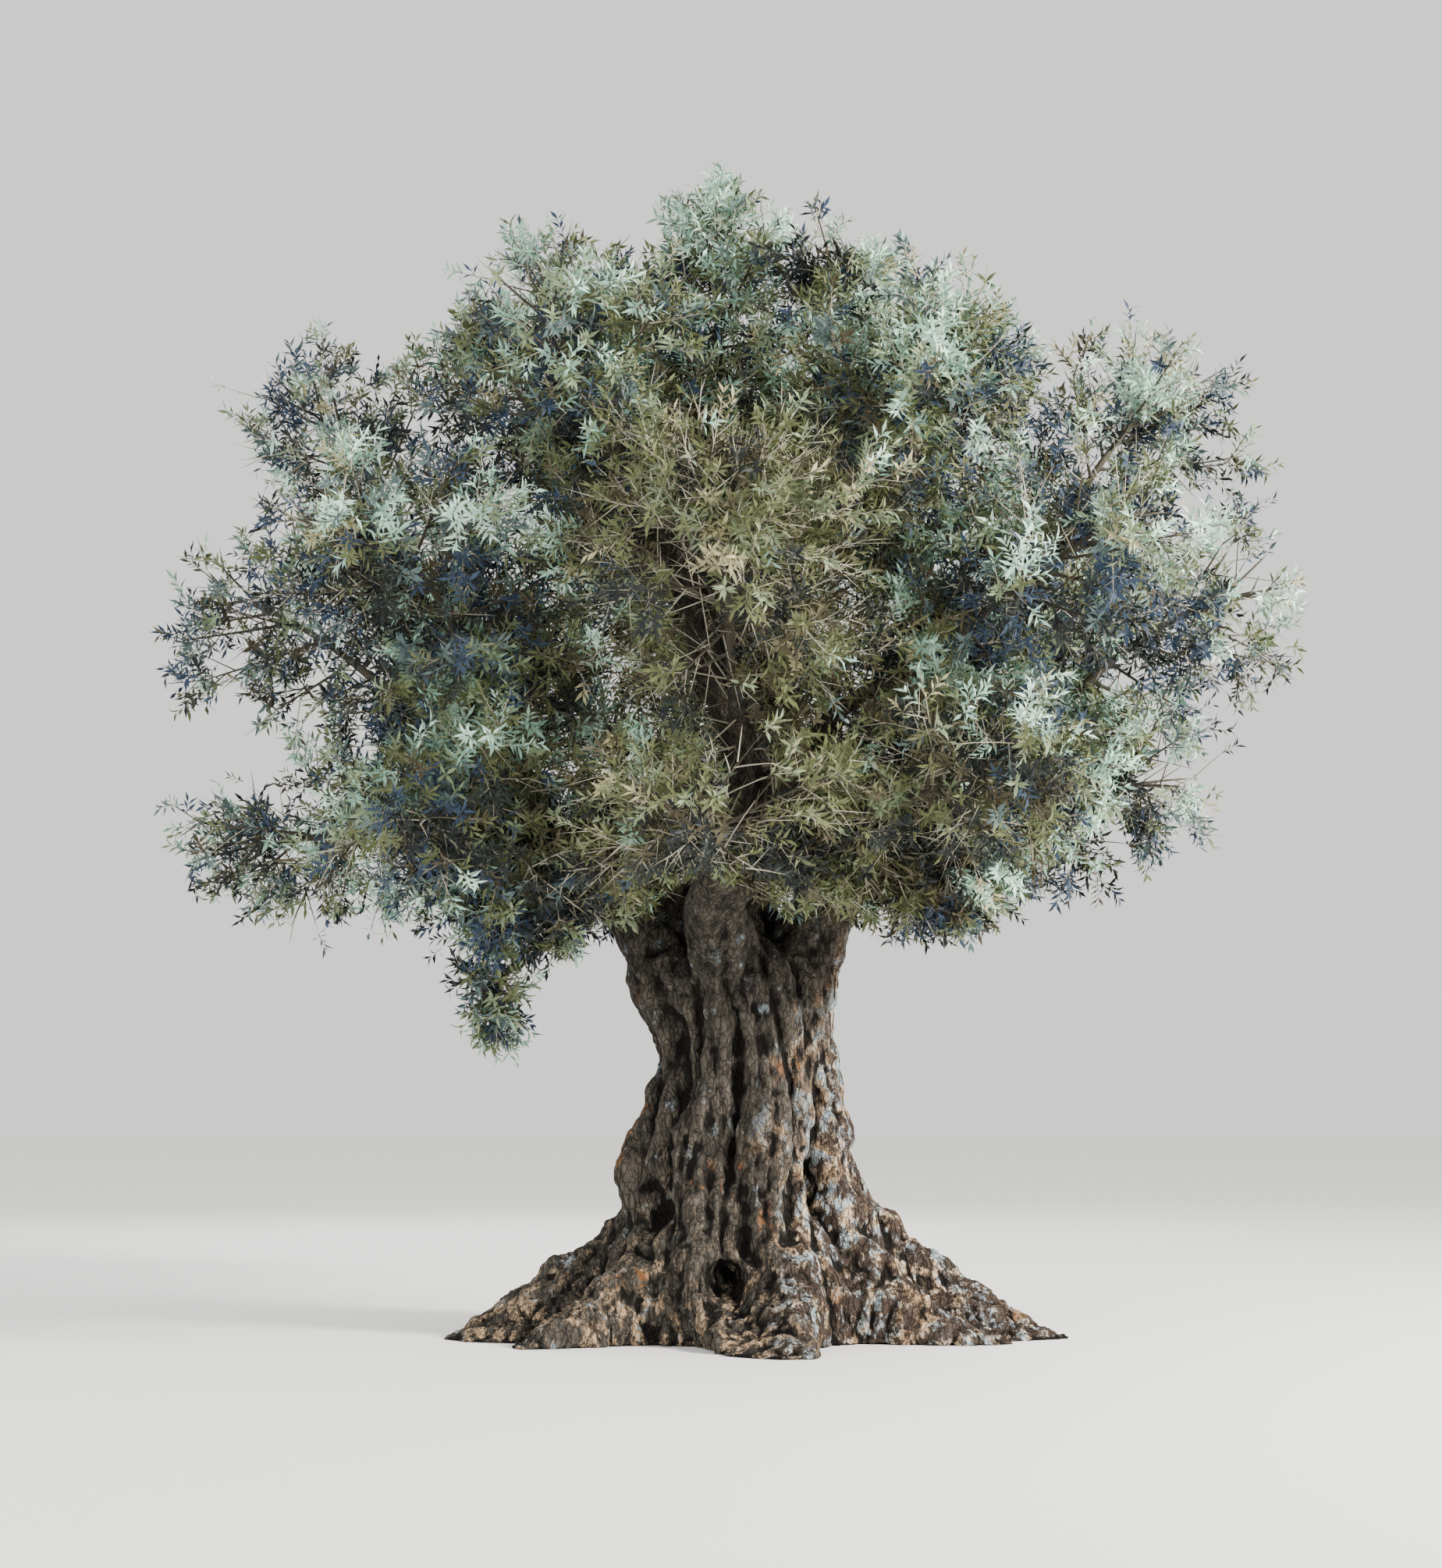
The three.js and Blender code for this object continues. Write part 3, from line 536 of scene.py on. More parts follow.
def make_bark():
    """The trunk and all the boughs as one mesh with their relief, and how far each point stands proud of
    its neighbours, which the bark's material turns into painted shade in the furrows.
    """
    parts = [trunk_solid()]
    parts += [bough_solid(bough, SEED + BARK["seeds"] * i) for i, bough in enumerate(BOUGHS.values(), 1)]
    bark = closed_mesh("bark", parts)
    apply_modifier(bark, "REMESH", mode="VOXEL", voxel_size=BARK["voxel"])
    apply_modifier(bark, "SMOOTH", factor=0.5, iterations=BARK["smoothings"])
    mesh = bark.data
    points = rows_of(mesh.vertices, "co")
    crust = np.zeros(len(points))
    for i, (cell, depth) in enumerate(CRUSTS):
        folded = np.abs(noise(points * CRUST_TALL / cell, SEED + i))
        crust += depth * (CRUST_FORM["steepness"] * folded - CRUST_FORM["level"])
    crust *= looked_up(points[:, 2], CRUST_SHARES)
    move_points(mesh, points + rows_of(mesh.vertex_normals, "vector") * crust[:, None])
    mesh.calc_loop_triangles()
    ratio = BARK["most_triangles"] / len(mesh.loop_triangles)
    apply_modifier(bark, "DECIMATE", ratio=min(1, ratio))
    mesh = bark.data
    for polygon in mesh.polygons:
        polygon.use_smooth = True
    points = rows_of(mesh.vertices, "co")
    move_points(mesh, points)
    # How far each point stands proud: below 0 in the furrows and hollows, where the bark's material paints
    # shade.
    proud = points - smoothed(mesh, points, BARK["proudness_smoothings"])
    proudness = (proud * rows_of(mesh.vertex_normals, "vector")).sum(1) / BARK["proudness_depth"]
    attribute = mesh.attributes.new("proudness", "FLOAT", "POINT")
    attribute.data.foreach_set("value", np.clip(proudness, -1, 1).astype(np.float32))
    return bark


# Twigs and leaves


LUMPS = [(0.5, 0.34), (0.21, 0.26)]  # how uneven the outside of a mass is: cell size and depth
LEAF_ROOM = 0.1  # twigs end no further than this outside the box of the solids
LOWEST_TWIG = 2.42  # twigs on the boughs themselves stay above this height
# The space in front of the fork that stays free of foliage: its middle and half its size.
CLEARING = ((-0.2, -2.0, 2.0), (0.8, 2.4, 0.61))
FULL_SIZE = 0.8  # smaller masses, by their mean half size, have smaller lumps and closer twigs
BLEND = 5.0  # the smaller, the further masses that meet fill the crease between them
LUMPY = {0.8: 0.3, 1.4: 1.0}  # the share of the lumps by how far out from the heart they are
# The part of the crown that is mostly olive and close, from the fork up: a narrow upper and a
# broad lower part. Further out the shoots leave gaps, where a noise lies below a limit.
HEARTS = [((-0.05, 0.0, 4.2), (0.9, 9.0, 1.3)), ((0.1, 0.0, 3.0), (1.4, 9.0, 0.85))]
HEART_BLUR = 0.8
GAPS = {1.0: -0.9, 1.5: -0.24, 2.4: -0.02}  # the limit by how far out from the heart it is
GAP_CELL = np.array([0.26, 0.8, 0.26])


def far_out(points, space):
    """How far out each point lies in a space, whose edge is 1."""
    middle, half = space
    return np.linalg.norm((points - np.array(middle)) / np.array(half), axis=1)


def from_heart(points):
    return np.minimum(*(far_out(points, heart) for heart in HEARTS))


def is_close(points):
    """Whether a shoot grows at each point, or one of the crown's gaps is there."""
    return noise(points / GAP_CELL, SEED + 7) > looked_up(from_heart(points), GAPS)


def size_share(index):
    return min(1, HALVES[index].mean() / FULL_SIZE)


def sighted(points):
    """Where points appear from the front, as sideways and upward places at the trunk."""
    scale = -EYE.y / (points[:, 1] - EYE.y)
    return EYE.x + (points[:, 0] - EYE.x) * scale, EYE.z + (points[:, 2] - EYE.z) * scale


# The slanting gap in the crown's front through which the leader and one of its boughs show.
LIMB_GAP = {"half": 0.16, "ragged": 0.5, "cell": 0.22}
SHOWN_LIMB = {"top_peak": (0.25, 0.34), "upper_front_left": (0.05, 0.84)}  # the parts that show
SHOWN_POINTS = 12


def in_limb_gap(points):
    """Whether each point would hide the limb that shows."""
    aside, up = sighted(points)
    half = LIMB_GAP["half"] * (1 + LIMB_GAP["ragged"] * noise(points / LIMB_GAP["cell"], SEED + 3))
    shown = ((BOUGHS[name], np.linspace(*part, SHOWN_POINTS)) for name, part in SHOWN_LIMB.items())
    limb = np.vstack([bough_points(bough, shares) for bough, shares in shown])
    limb_aside, limb_up = sighted(limb)
    hides = np.abs(aside - np.interp(up, limb_up, limb_aside)) < half
    hides &= points[:, 1] < np.interp(up, limb_up, limb[:, 1])
    return hides & (up > limb_up[0]) & (up < limb_up[-1])


def owns(index, points, limits, order, near):
    """Whether each point is in a mass's own space: inside it, and deeper in it than in others
    unless it is near the foot of its twig. Twigs on the bough itself may be in any mass."""
    depths = measure(points)
    boxed = ((points > CAD_BOX[0] - LEAF_ROOM) & (points < CAD_BOX[1] + LEAF_ROOM)).all(1)
    boxed &= far_out(points, CLEARING) > 1
    if order["on_bough"]:
        return boxed & (depths.min(1) <= limits) & (points[:, 2] > LOWEST_TWIG)
    lumps = sum(depth * noise(points / cell, SEED + i) for i, (cell, depth) in enumerate(LUMPS))
    lumps = lumps * size_share(index) * looked_up(from_heart(points), LUMPY)
    blended = -np.log(np.exp(-BLEND * depths).sum(1)) / BLEND
    own = depths[:, index].copy()
    depths[:, index] = np.inf
    deeper = near | (depths.min(1) > own + order["margin"])
    return boxed & (blended + lumps <= limits) & deeper


ROOM_STEPS = 16
FOOT_ROOM = 0.06  # up to this length a twig may lie in another mass


def room(index, feet, ways, longest, limits, order):
    """How long each twig may be before it leaves the mass's own space."""
    steps = np.arange(1, ROOM_STEPS + 1) / ROOM_STEPS
    lengths = longest[:, None] * steps
    places = feet[:, None] + ways[:, None] * lengths[..., None]
    near = (lengths < FOOT_ROOM).ravel()
    inside = owns(index, places.reshape(-1, 3), np.repeat(limits, ROOM_STEPS), order, near)
    inside = inside.reshape(len(feet), ROOM_STEPS)
    free = np.where(inside.all(1), ROOM_STEPS, inside.argmin(1))
    return longest * free / ROOM_STEPS


# The twigs of each order: how far apart they leave their carrier, on which part of it, how they
# lean from it at the first, at the last and by chance, how far out in the mass they may reach, how
# much deeper they lie in it than in others, and whether the crown's gaps leave some out.
TWIGS = [
    dict(
        spacing=0.06, part=(0.06, 1.0), leans=(92, 18), spread=24, longest=1.25, shortest=0.12,
        reach=(0.74, 1.0), margin=0.04, radii=(0.011, 0.004), points=6, sides=5, rise=0.12,
        is_open=False, on_bough=False,
    ),
    dict(
        spacing=0.052, part=(0.14, 1.0), leans=(68, 30), spread=30, longest=0.5, shortest=0.07,
        reach=(0.8, 1.1), margin=-0.05, radii=(0.005, 0.0025), points=4, sides=3, rise=0.1,
        is_open=False, on_bough=False,
    ),
    dict(
        spacing=0.036, part=(0.14, 1.0), leans=(60, 15), spread=34, longest=0.2, shortest=0.05,
        reach=(0.84, 1.16), margin=-0.12, radii=(0.0036, 0.0014), points=2, sides=3, rise=0.1,
        is_open=True, on_bough=False,
    ),
]
# The leafy twigs along the outer part of each bough, and the shoots on them.
BOUGH_TWIGS = [
    dict(
        spacing=0.026, part=(0.17, 0.98), leans=(84, 56), spread=34, longest=0.95, shortest=0.12,
        reach=(1.25, 2.1), radii=(0.006, 0.003), points=4, sides=4, rise=0.15,
        is_open=False, on_bough=True,
    ),
    {**TWIGS[-1], "reach": (1.4, 2.2), "on_bough": True},
]
TWIG_LENGTH = {"least": 0.62, "spread": 0.38, "shorter": 0.35}  # shorter by this share at the end
TURN_SPREAD = 0.5
# Twigs bend down in masses below this level and up above it, most at this range from it.
BEND = {"level": 3.9, "range": 1.2, "foot": 0.4}
LEAF = {
    "length": (0.054, 0.09),
    "width": 0.25,
    "middle": 0.46,  # where it is widest, along its length
    "spacing": 0.025,
    "first": 0.6,  # how far along the shoot the first pair is, in spacings
    "lean": 56,
    "leans": (1.15, 0.6),  # the share of its lean at the shoot's foot, and what it loses on the way
    "spread": 30,
    "twist": 0.9,
    "curl": 0.2,
}


def line_points(lines, shares):
    """Points at a share of the length of each line, given as rows of its own points."""
    count = lines.shape[1] - 1
    place = np.clip(shares * count, 0, count - 1e-9)
    segment = place.astype(int)
    rows = np.arange(len(lines))
    start = lines[rows, segment]
    way = lines[rows, segment + 1] - start
    return start + way * (place - segment)[:, None], unit(way)


def branch(index, lines, order, random):
    """The twigs of one order on the lines that carry them, as rows of points."""
    lengths = np.linalg.norm(np.diff(lines, axis=1), axis=2).sum(1)
    first, last = order["part"]
    spacing = order["spacing"]
    if not order["on_bough"]:
        spacing *= size_share(index) / MASSES[NAMES[index]]["density"] ** (1 / len(TWIGS))
    counts = np.maximum(1, (lengths * (last - first) / spacing).astype(int))
    carrier = np.repeat(np.arange(len(lines)), counts)
    number = np.arange(len(carrier)) - np.repeat(np.cumsum(counts) - counts, counts)
    place = number / np.maximum(counts[carrier] - 1, 1)
    feet, axes = line_points(lines[carrier], first + (last - first) * place)
    start, end = order["leans"]
    leans = start + (end - start) * place + order["spread"] * (random.random(len(place)) - 0.5)
    turns = number * GOLDEN_TURN + np.repeat(random.random(len(lines)) * 2 * math.pi, counts)
    turns = turns + TURN_SPREAD * random.random(len(place))
    ways = unit(lean_from(axes, np.radians(leans), turns))
    chance = TWIG_LENGTH["least"] + TWIG_LENGTH["spread"] * random.random(len(place))
    longest = order["longest"] * chance * (1 - TWIG_LENGTH["shorter"] * place)
    least, most = order["reach"]
    limits = least + (most - least) * random.random(len(place))
    grown = room(index, feet, ways, longest, limits, order)
    kept = grown >= order["shortest"]
    if order["is_open"]:
        kept &= is_close(feet) & ~in_limb_gap(feet + 0.5 * ways * grown[:, None])
    feet, ways, grown = feet[kept], ways[kept], grown[kept]
    shares = np.linspace(0, 1, order["points"])
    straight = feet[:, None] + ways[:, None] * (grown[:, None] * shares)[..., None]
    lift = order["rise"] * grown[:, None] * shares * (shares - BEND["foot"])
    rise = np.clip((MIDDLES[index][2] - BEND["level"]) / BEND["range"], -1, 1)
    return straight + lift[..., None] * UP * rise


def tubes(lines, radii, sides):
    """Points and triangles of tapered twigs that end in a point."""
    count = lines.shape[1]
    ways = np.gradient(lines, axis=1)
    across, along = sideways(unit(ways[:, :-1]).reshape(-1, 3))
    angles = np.arange(sides) * 2 * math.pi / sides
    out = across[:, None] * np.cos(angles)[:, None] + along[:, None] * np.sin(angles)[:, None]
    width = np.tile(np.linspace(*radii, count)[:-1], len(lines))[:, None, None]
    rings = lines[:, :-1].reshape(-1, 1, 3) + out * width
    rings = rings.reshape(len(lines), (count - 1) * sides, 3)
    points = np.concatenate([rings, lines[:, -1:]], 1)
    quads = ring_faces(count - 1, sides)
    tip = cap_faces(sides, (count - 2) * sides, (count - 1) * sides)[:, [2, 1, 0]]
    pattern = np.vstack([quads[:, [0, 1, 2]], quads[:, [0, 2, 3]], tip])
    offsets = np.arange(len(lines)) * points.shape[1]
    return points.reshape(-1, 3), (offsets[:, None, None] + pattern).reshape(-1, 3)


def leaves_on(shoots, random):
    """Points and triangles of the leaves in pairs along shoots, and the shoot of each triangle."""
    lengths = np.linalg.norm(shoots[:, -1] - shoots[:, 0], axis=1)
    nodes = np.maximum(2, np.round(lengths / LEAF["spacing"]).astype(int))
    shoot = np.repeat(np.arange(len(shoots)), nodes * 2)
    number = np.arange(len(shoot)) - np.repeat(np.cumsum(nodes * 2) - nodes * 2, nodes * 2)
    node = number // 2
    place = (node + LEAF["first"]) / nodes[shoot]
    feet, axes = line_points(shoots[shoot], np.minimum(place, 1))
    turned = np.repeat(random.random(len(shoots)) * 2 * math.pi, nodes * 2)
    turns = turned + (number % 2) * math.pi + node * math.pi / 2
    turns = turns + TURN_SPREAD * random.random(len(shoot))
    first, loss = LEAF["leans"]
    lean = LEAF["lean"] * (first - loss * place) + LEAF["spread"] * (random.random(len(shoot)) - 0.5)
    ways = unit(lean_from(axes, np.radians(lean), turns))
    faces_up = unit(axes - ways * (axes * ways).sum(1)[:, None])
    across = np.cross(ways, faces_up)
    twist = LEAF["twist"] * (random.random(len(shoot)) - 0.5)
    side = across * np.cos(twist)[:, None] + faces_up * np.sin(twist)[:, None]
    normal = np.cross(side, ways)
    shortest, longest = LEAF["length"]
    length = (shortest + (longest - shortest) * random.random(len(shoot)))[:, None]
    half = side * length * LEAF["width"] / 2
    middle = feet + ways * length * LEAF["middle"]
    tip = feet + ways * length - normal * length * LEAF["curl"]
    points = np.stack([feet, middle - half, middle + half, tip], 1)
    pattern = np.array([[0, 2, 1], [1, 2, 3]])
    offsets = np.arange(len(shoot)) * points.shape[1]
    faces = (offsets[:, None, None] + pattern).reshape(-1, 3)
    return points.reshape(-1, 3), faces, np.repeat(shoot, len(pattern))


STEM = {"reach": 0.62, "radii": (0.029, 0.009), "points": 8, "sides": 8}


def stem_line(name, bough):
    """The stem goes on from the bough's tip through the middle of its mass."""
    middle = MASSES[name]["middle"]
    foot = bough_points(bough, 1.0)[0]
    end = middle + unit(middle - CROWN_HEART) * STEM["reach"] * MASSES[name]["half"].min()
    shares = np.linspace(0, 1, STEM["points"])[:, None]
    handle = 2 * middle - (foot + end) / 2
    curve = foot * (1 - shares) ** 2 + 2 * handle * shares * (1 - shares) + end * shares**2
    straight = foot + (end - foot) * shares
    return ((curve + straight) / 2)[None]


# Leaf colours, and which of them each tint deals out, from shade to light.
LEAF_COLOURS = {
    "ink": (0.012, 0.017, 0.015),
    "navy": (0.024, 0.044, 0.078),
    "slate": (0.08, 0.122, 0.118),
    "umber": (0.056, 0.047, 0.022),
    "olive": (0.1, 0.115, 0.045),
    "sage": (0.185, 0.235, 0.13),
    "straw": (0.34, 0.315, 0.17),
    "mint": (0.25, 0.42, 0.325),
    "pale": (0.49, 0.7, 0.57),
}
TINTS = [
    ["ink", "ink", "navy", "navy", "navy", "slate", "slate", "sage", "mint", "pale"],
    ["ink", "umber", "umber", "olive", "olive", "olive", "olive", "sage", "sage", "straw"],
    ["ink", "navy", "slate", "olive", "sage", "sage", "mint", "mint", "pale", "pale"],
]
LIGHT_WAY = unit(np.array([0.4, -0.3, 0.85]))
# How light the leaves are, with painted light and shade: on average, towards the light, further out than a
# depth, by chance, and how much painted shade darkens them in the heart and at its foot, between two
# heights.
SHADE = {"middle": 0.43, "towards": 0.22, "outer": 0.34, "spread": 0.26, "heart": 0.06, "foot": 0.26}
SHADE_DEPTH = 0.75
HEART_FOOT = (3.35, 2.5)
PATCHES = [(0.46, 0.85), (0.18, 0.55)]  # of lighter and darker leaves: cell size and strength
TINT_CELLS = (0.6, 0.24)
TINT_FINE = 0.5  # the strength of the finer noise
TINT_EDGES = (-0.12, 0.04)


def deal_colours(shoots, random):
    """The leaf colour of each spray, as an index into LEAF_COLOURS."""
    middle = shoots.mean(1)
    depths = measure(middle)
    nearest = depths.argmin(1)
    offset = np.einsum("pk,pak->pa", middle - MIDDLES[nearest], AXES[nearest]) / HALVES[nearest]
    towards = (offset * (AXES[nearest] @ LIGHT_WAY)).sum(1)
    value = SHADE["middle"] + SHADE["towards"] * towards
    value += SHADE["outer"] * (np.minimum(depths.min(1), 1) - SHADE_DEPTH)
    value += sum(strength * noise(middle / cell, SEED) for cell, strength in PATCHES)
    value += SHADE["spread"] * (random.random(len(shoots)) - 0.5)
    coarse, fine = (noise(middle / cell, SEED + 5) for cell in TINT_CELLS)
    tint = np.searchsorted(TINT_EDGES, coarse + TINT_FINE * fine)
    in_heart = from_heart(middle) + HEART_BLUR * fine < 1
    tint = np.where(in_heart, 1, tint)
    start, end = HEART_FOOT
    low = np.clip((start - middle[:, 2]) / (start - end), 0, 1)
    value -= (SHADE["heart"] + SHADE["foot"] * low) * in_heart
    order = list(LEAF_COLOURS)
    scales = np.array([[order.index(colour) for colour in scale] for scale in TINTS])
    steps = scales.shape[1]
    return scales[tint, np.clip((value * steps).astype(int), 0, steps - 1)]


BOUGH_LINE_POINTS = 24
PALE_TWIGS = 0.6  # the share of the thinner twigs that are straw-coloured
BARE = {"share": 0.34, "longer": 1.5}  # bare straw-coloured shoots in the crown's heart


def grow_mass(index, bough):
    """The twigs and leaves of one mass and of the bough that carries it."""
    random = np.random.default_rng(SEED * (index + 1))
    stem = stem_line(NAMES[index], bough)
    points, faces = tubes(stem, STEM["radii"], STEM["sides"])
    twigs = [(points, faces, np.zeros(len(faces), bool))]
    shoots = []
    carrier = bough_points(bough, np.linspace(0, 1, BOUGH_LINE_POINTS))[None]
    for lines, orders in ((stem, TWIGS), (carrier, BOUGH_TWIGS)):
        for order in orders:
            lines = branch(index, lines, order, random)
            pale = (random.random(len(lines)) < PALE_TWIGS) & (order is not TWIGS[0])
            if order is orders[-1]:
                bare = (random.random(len(lines)) < BARE["share"]) & (from_heart(lines[:, 0]) < 1)
                lines[bare, 1] += (lines[bare, 1] - lines[bare, 0]) * (BARE["longer"] - 1)
                pale |= bare
                shoots.append(lines[~bare])
            points, faces = tubes(lines, order["radii"], order["sides"])
            twigs.append((points, faces, np.repeat(pale, len(faces) // max(1, len(lines)))))
    shoots = np.concatenate(shoots)
    points, faces, shoot = leaves_on(shoots, random)
    return twigs, (points, faces, deal_colours(shoots, random)[shoot])


def joined(name, parts, materials):
    """One mesh of several parts, each given as points, faces and the material of each face."""
    offsets = np.cumsum([0] + [len(part[0]) for part in parts[:-1]])
    points = np.vstack([part[0] for part in parts])
    faces = np.vstack([part[1] + offset for part, offset in zip(parts, offsets)])
    return mesh_object(name, points, faces, materials, np.concatenate([part[2] for part in parts]))


RINGS = {
    "low_left": ["low_front_left", "low_left", "low_left_inner", "hanging_left", "low_back_left"],
    "low_right": ["low_right", "low_right_inner", "low_front_right", "low_front", "low_back_right"],
    "mid_front": ["mid_right", "mid_front_right", "mid_front", "mid_front_left"],
    "mid_back": ["mid_left", "mid_back_left", "mid_back", "mid_back_right"],
    "upper": [name for name in NAMES if name.startswith("upper")],
    "top": [name for name in NAMES if name.startswith("top")],
}


# Materials


def set_inputs(tree, node, inputs):
    """Sets a node's inputs to values, or links them to other nodes. Returns its outputs."""
    for name, value in inputs.items():
        socket = node.inputs[name]
        if isinstance(value, bpy.types.NodeSocket):
            tree.links.new(value, socket)
        else:
            socket.default_value = (*value, 1) if socket.type == "RGBA" else value
    return node.outputs


def add_node(tree, kind, inputs, **properties):
    node = tree.nodes.new("ShaderNode" + kind)
    for name, value in properties.items():
        setattr(node, name, value)
    return set_inputs(tree, node, inputs)


def plain_material(name, colour, roughness, specular=0.3):
    material = bpy.data.materials.new(name)
    material.use_nodes = True
    tree = material.node_tree
    inputs = {"Base Color": colour, "Roughness": roughness, "Specular IOR Level": specular}
    set_inputs(tree, tree.nodes["Principled BSDF"], inputs)
    return material


def ramp(tree, stops, value):
    node = tree.nodes.new("ShaderNodeValToRGB")
    elements = node.color_ramp.elements
    while len(elements) < len(stops):
        elements.new(0.5)
    for element, (place, colour) in zip(elements, stops):
        element.position = place
        element.color = (*colour, 1)
    return set_inputs(tree, node, {"Fac": value})["Color"]


MIX_INPUTS = (0, 6, 7)  # of a mix of colours: its factor and both colours
MIX_RESULT = 2


def mixed(tree, *inputs):
    return add_node(tree, "Mix", dict(zip(MIX_INPUTS, inputs)), data_type="RGBA")[MIX_RESULT]


DARKEST = (0.009, 0.0075, 0.006)
BARK_GROUND = [(0.32, DARKEST), (0.49, (0.046, 0.041, 0.034)), (0.7, (0.12, 0.105, 0.083))]
# The flakes on the lit right side of the trunk: real flakes, painted paler as a highlight.
PALE_FLAKES = [
    (0.38, (0.36, 0.23, 0.13)),
    (0.45, (0.6, 0.44, 0.29)),
    (0.5, (0.68, 0.6, 0.48)),
    (0.53, (0.34, 0.43, 0.49)),
    (0.6, (0.5, 0.56, 0.58)),
    (0.64, (0.5, 0.34, 0.2)),
]
BROWN_FLAKE = (0.21, 0.165, 0.12)
TAN_FLAKE = (0.5, 0.34, 0.2)
BLUE_FLAKE = (0.34, 0.44, 0.5)
# The redder ground follows the painted highlight on the lit right side of the trunk.
RED_GROUND = (0.06, 0.036, 0.026)
PROUD_BACK = (0.13, 0.112, 0.088)
RUST = (0.24, 0.095, 0.03)
RED_STRENGTH = 0.6
BLUE_STRENGTH = {"feet": 0.5, "everywhere": 0.45}
# The noises in the bark: scale, stretch, detail and roughness.
BARK_NOISES = {
    "broad": (2.6, (1, 1, 0.5), 5, 0.6),
    "grain": (24, (1, 1, 0.3), 7, 0.7),
    "patches": (12, (1, 1, 0.6), 10, 0.8),
    "kinds": (7, (1, 1, 1), 4, 0.6),
    "rusty": (2.1, (1, 1, 1), 3, 0.5),
    "bend": (14, (1, 1, 1), 3, 0.5),
}
PLATES = {"scale": 30, "stretch": (1, 1, 0.42), "bend": (0.05, 0.05, 0.05)}
# What the bark is made up of: where each begins and where it is whole, in the value that it
# follows, and its strength.
BARK_LAYERS = {
    "plates": (0.0, 0.16, 1),
    "cracks": (0.5, 0.0, 0.7),
    "below": (2.58, 2.2, 1),
    "narrower": (1.2, 2.3, 0.3),
    "lit_right_side": (0.64, 0.92, 1),
    "feet": (0.1, -0.45, 1),
    "lower": (2.5, 1.2, 0.7),
    "flakes": (0.51, 0.54, 1),
    "whole": (-0.5, 0.0, 1),
    "closer": (0.5, 1.2, 0.034),
    "pale_flakes": (0.512, 0.542, 1),
    "pale_whole": (-0.6, -0.1, 1),
    "blue": (0.56, 0.62, 1),
    "backs": (0.25, 1.1, 0.5),
    "painted_furrow_shade": (-0.12, -0.7, 1),
    "rust": (0.62, 0.7, 1),
}
BARK_BUMP = {"grain": 1.4, "flakes": 0.35, "strength": 0.9, "distance": 0.012}


